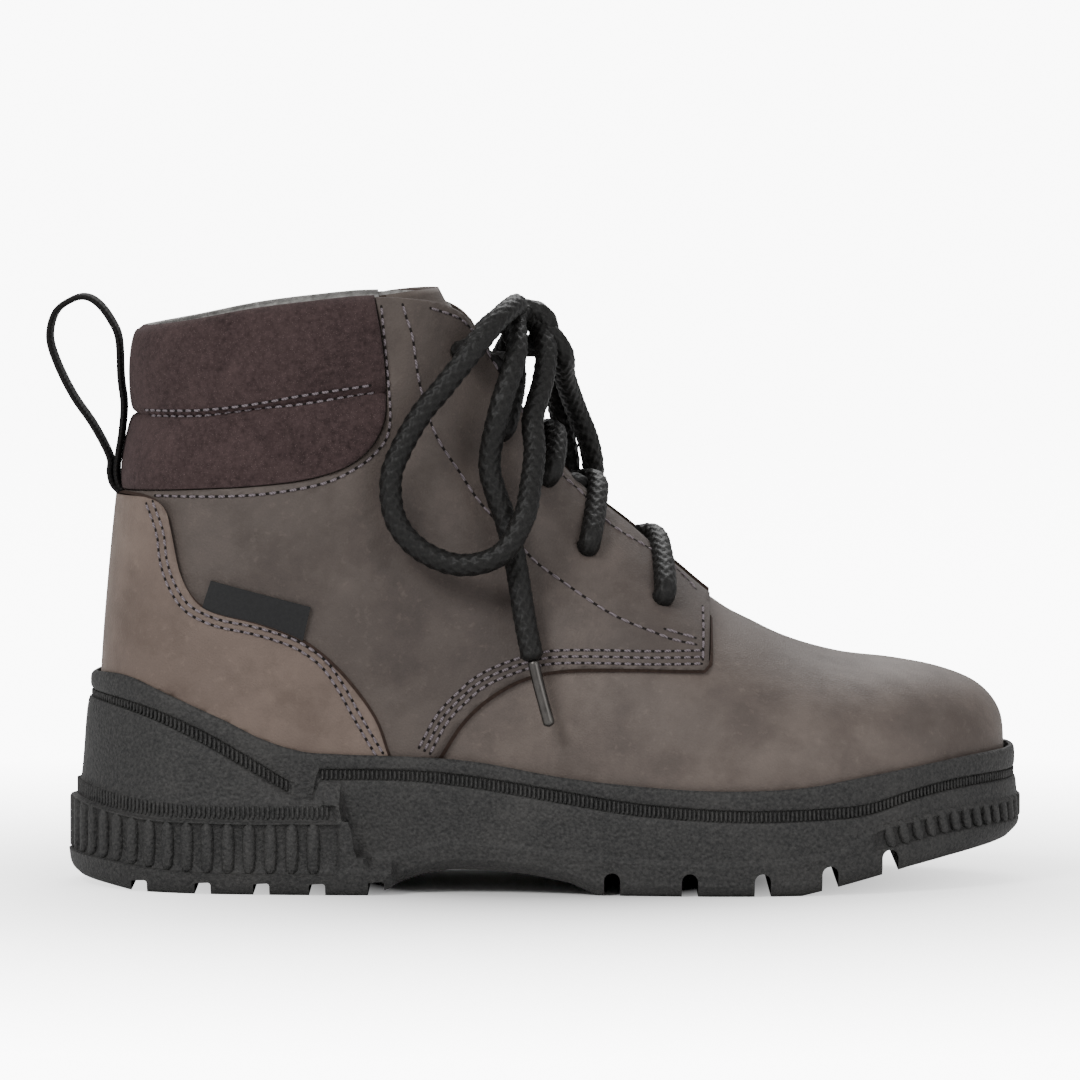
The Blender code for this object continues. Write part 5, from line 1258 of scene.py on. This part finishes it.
def sole_line(share, number):
    """One line of the sole's side, from rim to tread: how far out from the feather line, and how high."""
    heel = [line_height(0, share, k) for k in range(1, 6)]
    fore = [line_height(1, share, k) for k in range(1, 4)]
    tread = up(np.interp(share, tread_x, tread_z))
    layers = np.interp(share, (0.30, 0.40), (1, 0)) + np.interp(share, (0.36, 0.46), (1, 0))
    rim = RIM_WALL + LEATHER * layers
    top = up(np.interp(share, rim_curve[:, 0], rim_curve[:, 1]))
    ledge = fore[2]
    groove_top = stepped(PANEL_TOP, share, heel[0], fore[0])
    groove_low = stepped(PANEL_TOP, share, heel[1], fore[1])
    panel_low = stepped(PANEL_BOTTOM, share, heel[2], ledge)
    band_low = stepped(BAND, share, heel[3], ledge - BEAD)
    base_low = max(stepped(BASE_BOTTOM, share, heel[4], tread + TREAD_ROUND), tread + TREAD_ROUND)
    base_out = rim + stepped(BASE_BOTTOM, share)
    base_top = rim + stepped(BASE_TOP, share)
    toe_low = max(ledge - BEAD - TOE_RIB_HEIGHT, tread + TREAD_ROUND)
    rib_low = max(stepped(BASE_BOTTOM, share, heel[4], toe_low), base_low)
    ground = RIB_GROUND * max(
        np.clip((HEEL_RIBS_END - share) / 0.004, 0, 1), 0.8 * np.clip((share - TOE_RIBS_START) / 0.006, 0, 1)
    )
    strut = [raised(row, share) for row in STRUT]
    groove = GROOVE * (1 - raised((*GROOVE_STOP, 1.0), share))
    return (
        (rim - 1.8 * BEAD, top - 0.3 * BEAD), (rim - BEAD, top), (rim, top - BEAD), (rim, groove_top),
        (rim - groove, groove_top - 0.4 * BEAD), (rim - groove, groove_low + 0.4 * BEAD),
        (rim + stepped(PANEL_TOP, share) + strut[0], groove_low),
        (rim + stepped(PANEL_BOTTOM, share) + strut[1], panel_low),
        (rim + stepped(BAND, share) + strut[2], panel_low - 0.5 * BEAD),
        (rim + stepped(BAND, share) + strut[3], band_low), (base_top, band_low - BEAD),
        (base_top - ground, band_low - 1.7 * BEAD), (base_out - ground, rib_low + 0.9 * BEAD),
        (base_out, rib_low), (base_out, base_low),
        (base_out - 0.2 * TREAD_ROUND, tread + 0.6 * TREAD_ROUND), (base_out - TREAD_ROUND, tread),
    )[number]


def feather(rows, side):
    """The feather line in plan, and the way out of it."""
    points = last_points(rows, np.zeros_like(rows), side)
    near = last_points(np.clip(rows + 0.01, 0, HEEL_ROW), np.zeros_like(rows), side)
    far = last_points(np.clip(rows - 0.01, 0, HEEL_ROW), np.zeros_like(rows), side)
    run = (near - far)[:, :2]
    run[rows <= 0] = (0, -side)
    run[rows >= HEEL_ROW] = (0, -side)
    run = unit(run)
    out = np.stack([run[:, 1], -run[:, 0]], axis=1) * side
    out[rows <= 0] = (1, 0)
    out[rows >= HEEL_ROW] = (-1, 0)
    return points, out


def rounded_corners(points, share=0.22):
    """A line with each corner cut twice, its ends kept."""
    points = np.asarray(points, float)
    for _ in range(2):
        a, b = points[:-1], points[1:]
        cut_points = np.stack([a + share * (b - a), b - share * (b - a)], axis=1).reshape(-1, points.shape[1])
        points = np.concatenate([points[:1], cut_points[1:-1], points[-1:]])
    return points


def share_at(point, way, reach=0.0):
    """The share of the sole's length at a place out from the feather line."""
    return (point[0] + way[0] * reach) / SOLE_LENGTH + HEEL_REST


def rounded(place_at):
    return tuple(round(float(value) * 2e5) for value in place_at)


fine_rows = np.linspace(0, HEEL_ROW, 1500)
path = feather(fine_rows, -1)[0]
run = run_along(path)
stations = np.interp(np.linspace(0, run[-1], STATIONS), run, fine_rows)
sides = []
for side in (-1, 1):
    points, out = feather(stations, side)
    made = []
    for point, way in zip(points, out):
        column = []
        for number in range(SIDE_LINES):
            reach = sole_line(share_at(point, way), number)[0]
            column.append(sole_line(share_at(point, way, reach), number))
        column = rounded_corners(column)
        bed = point[2] - GAP
        lip = column[0]
        column = np.concatenate([[(0.0, bed), (0.6 * lip[0], bed + 0.3 * (lip[1] - bed))], column])
        made.append([(*(point[:2] + way * reach), height) for reach, height in column])
    sides.append(np.array(made))
ring = np.concatenate([sides[0], sides[1][-2:0:-1], sides[0][:1]])
sole = grid_piece("sole_moulding", ring, foam)
bm = bmesh.new()
bm.from_mesh(sole.data)
bmesh.ops.remove_doubles(bm, verts=bm.verts, dist=1e-6)
spots = {rounded(vert.co): vert for vert in bm.verts}
for level in (0, -1):
    pairs = [[spots.get(rounded(half[k][level])) for half in sides] for k in range(len(stations))]
    for (a, b), (c, d) in zip(pairs, pairs[1:]):
        around = list(dict.fromkeys(v for v in (a, c, d, b) if v))
        if len(around) > 2 and not bm.faces.get(around):
            bm.faces.new(around)
bmesh.ops.holes_fill(bm, edges=[e for e in bm.edges if e.is_boundary], sides=0)
bmesh.ops.recalc_face_normals(bm, faces=bm.faces)
bm.to_mesh(sole.data)
bm.free()
for shares_of, depth, arched in ((HEEL_NOTCHES, HEEL_NOTCH_DEPTH, 0), (FORE_NOTCHES, FORE_NOTCH_DEPTH, 1)):
    for share in shares_of:
        high_at = up(np.interp(share, tread_x, tread_z)) + depth
        turns = np.linspace(0, math.pi, 9 if arched else 5)
        round_off = NOTCH_HALF if arched else 0.0006
        outline = [(along(share) - NOTCH_HALF, -0.01), (along(share) + NOTCH_HALF, -0.01)]
        for t in turns:
            flat = (NOTCH_HALF - round_off) * (1 if math.cos(t) >= 0 else -1)
            x = along(share) + flat + round_off * math.cos(t)
            outline.append((x, high_at - round_off + round_off * math.sin(t)))
        cut(sole, prism(outline, -0.1, 0.1))
select(sole)
bpy.ops.object.shade_smooth_by_angle(angle=math.radians(35))
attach(sole, BODY)
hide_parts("sole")


def rib(bm, place_at, out, width, depth, low, high, lean=0.0, sink=0.0010):
    """A rounded upright rib on the side of the sole."""
    tangent = Vector((-out[1], out[0], 0))
    normal = Vector((*out, 0))
    base = Vector((*place_at, 0))
    rings = []
    for reach, narrow in ((-sink, 1.0), (0.35 * depth, 1.0), (0.75 * depth, 0.84), (depth, 0.5)):
        inset = 0.5 * width * (1 - narrow)
        ring = []
        for k in range(12):
            turn = 2 * math.pi * (k + 0.5) / 12
            a = math.copysign(min(1, abs(math.cos(turn)) * 1.25), math.cos(turn)) * (0.5 * width - inset)
            middle, tall = (low + high) / 2, (high - low) / 2 - inset
            b = middle + math.copysign(min(1, abs(math.sin(turn)) * 1.15), math.sin(turn)) * tall
            offset = tangent * (a + lean * (b - low)) + normal * reach + Vector((0, 0, b))
            ring.append(bm.verts.new(base + offset))
        rings.append(ring)
    bridge(bm, rings)


def pitched(first, last, pitch, reach, from_end=False):
    """Evenly pitched places along both sides of the sole."""
    for side in (-1, 1):
        rows = np.linspace(first, last, 900)
        points, out = feather(rows, side)
        path = points[:, :2] + out * reach
        run = run_along(path)
        count = int(run[-1] / pitch)
        for step in range(0 if side < 0 else 1, count + 1):
            at = run[-1] - step * pitch if from_end else step * pitch
            if 0 <= at <= run[-1]:
                row = float(np.interp(at, run, rows))
                point, way = feather(np.array([row]), side)
                yield point[0], way[0], side


def row_at(share, first, last):
    rows = np.linspace(first, last, 400)
    return float(rows[np.abs(section_rows(rows)[:, 0] - share).argmin()])


bm = bmesh.new()
for point, way, side in pitched(row_at(0.285, 8, HEEL_ROW), HEEL_ROW, RIB_PITCH, 0.0096, True):
    out = sole_line(share_at(point, way), 10)[0] - 0.0001
    share = share_at(point, way, out)
    high_at = sole_line(share, 10)[1] + 0.0002
    low_at = line_height(0, share, 5)
    at = point[:2] + way * (out - RIB_GROUND)
    rib(bm, at, way, RIB_WIDTH, RIB_DEPTH + 0.0003, low_at, high_at)
for point, way, side in pitched(0, row_at(0.835, 0, 8), TOE_RIB_PITCH, 0.0040):
    out = RIM_WALL + BASE_TOP[1] - 0.0001
    share = share_at(point, way, out)
    high_at = line_height(1, share, 3) - BEAD
    low_at = max(high_at - TOE_RIB_HEIGHT, up(np.interp(share, tread_x, tread_z)) + TREAD_ROUND)
    at = point[:2] + way * (out - 0.8 * RIB_GROUND)
    rib(bm, at, way, TOE_RIB_WIDTH, RIB_DEPTH + 0.0002, low_at, high_at, lean=0.25 * side)
for point, way, side in pitched(row_at(0.283, 8, HEEL_ROW), HEEL_ROW, BAND_PITCH, 0.0070, True):
    out = sole_line(share_at(point, way), 9)[0]
    share = share_at(point, way, out)
    low_at, high_at = (sole_line(share, number)[1] for number in (9, 8))
    rib(bm, point[:2] + way * out, way, BAND_WIDTH, 0.0005, low_at, high_at, sink=0.0003)
# The knurls: fine upright ridges in the groove under the rim, and along the heel's lower band.
for point, way, side in pitched(0, HEEL_ROW, KNURL_PITCH, 0.0030):
    out = sole_line(share_at(point, way), 4)[0]
    share = share_at(point, way, out)
    if GROOVE_STOP[0] < share < GROOVE_STOP[1]:
        continue
    low_at, high_at = (sole_line(share, number)[1] for number in (5, 4))
    rib(bm, point[:2] + way * out, way, KNURL_WIDTH, 0.0007, low_at, high_at, sink=0.0003)
ribs = piece_of("sole_ribs", bm, foam)
select(ribs)
bpy.ops.object.shade_smooth_by_angle(angle=math.radians(50))
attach(ribs, BODY)


# Studio: a wide flat pale floor that glows white for the camera away from the boot, a white backdrop,
# wide soft lights, and the camera in the picture's place, about two metres off and a little above the boot.
deselect()
bpy.ops.mesh.primitive_plane_add(size=80, location=(0, 0, 0))
floor = bpy.context.object
floor.name = "studio_floor"
pale, tree, shader, place = surface_material("pale_floor", 0.9)
shader.inputs["Base Color"].default_value = (0.86, 0.86, 0.86, 1)
shader.inputs["Emission Color"].default_value = (1, 1, 1, 1)
apart = put(tree, "VectorMath", {"operation": "DISTANCE"}, Vector=place)
apart.inputs[1].default_value = (0.07, 0, 0)
away = apart.outputs["Value"]
by_camera = tree.nodes.new("ShaderNodeLightPath").outputs["Is Camera Ray"]
glow = math_node(tree, "MULTIPLY", ramp(tree, away, 0.04, 0.36, 0.0, 9.0), by_camera)
tree.links.new(glow, shader.inputs["Emission Strength"])
floor.data.materials.append(pale)
floor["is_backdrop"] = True
world = bpy.data.worlds.new("soft_studio")
world.use_nodes = True
sky = world.node_tree
sky.nodes["Background"].inputs[0].default_value = (1, 1, 1, 1)
by_camera = sky.nodes.new("ShaderNodeLightPath").outputs["Is Camera Ray"]
sky.links.new(math_node(sky, "MULTIPLY_ADD", by_camera, 9.0, 0.5), sky.nodes["Background"].inputs[1])
bpy.context.scene.world = world
for name, spot, aim, size, power in (
    ("key", (-0.9, -1.3, 1.5), (0.07, 0, 0.06), 0.7, 26), ("fill", (1.2, -1.1, 0.9), (0.07, 0, 0.05), 1.0, 7),
    ("back", (0.2, 1.2, 1.3), (0.07, 0, 0.08), 1.0, 16),
):
    light = bpy.data.lights.new(name, "AREA")
    light.size = size
    light.energy = power
    lamp = bpy.data.objects.new(name, light)
    lamp.location = spot
    lamp.rotation_euler = (Vector(aim) - Vector(spot)).to_track_quat("-Z", "Y").to_euler()
    bpy.context.scene.collection.objects.link(lamp)
camera = bpy.data.objects.new("camera", bpy.data.cameras.new("camera"))
camera.location = (0.0684, -2.0, 0.190)
camera.rotation_euler = (Vector((0.0684, 0, 0.0768)) - camera.location).to_track_quat("-Z", "Y").to_euler()
camera.data.lens = 296
camera.data.sensor_width = 36
camera.data.clip_start = 0.05
bpy.context.scene.collection.objects.link(camera)
bpy.context.scene.camera = camera

[[list(corner) for corner in box] for box in (cad_box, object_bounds())]
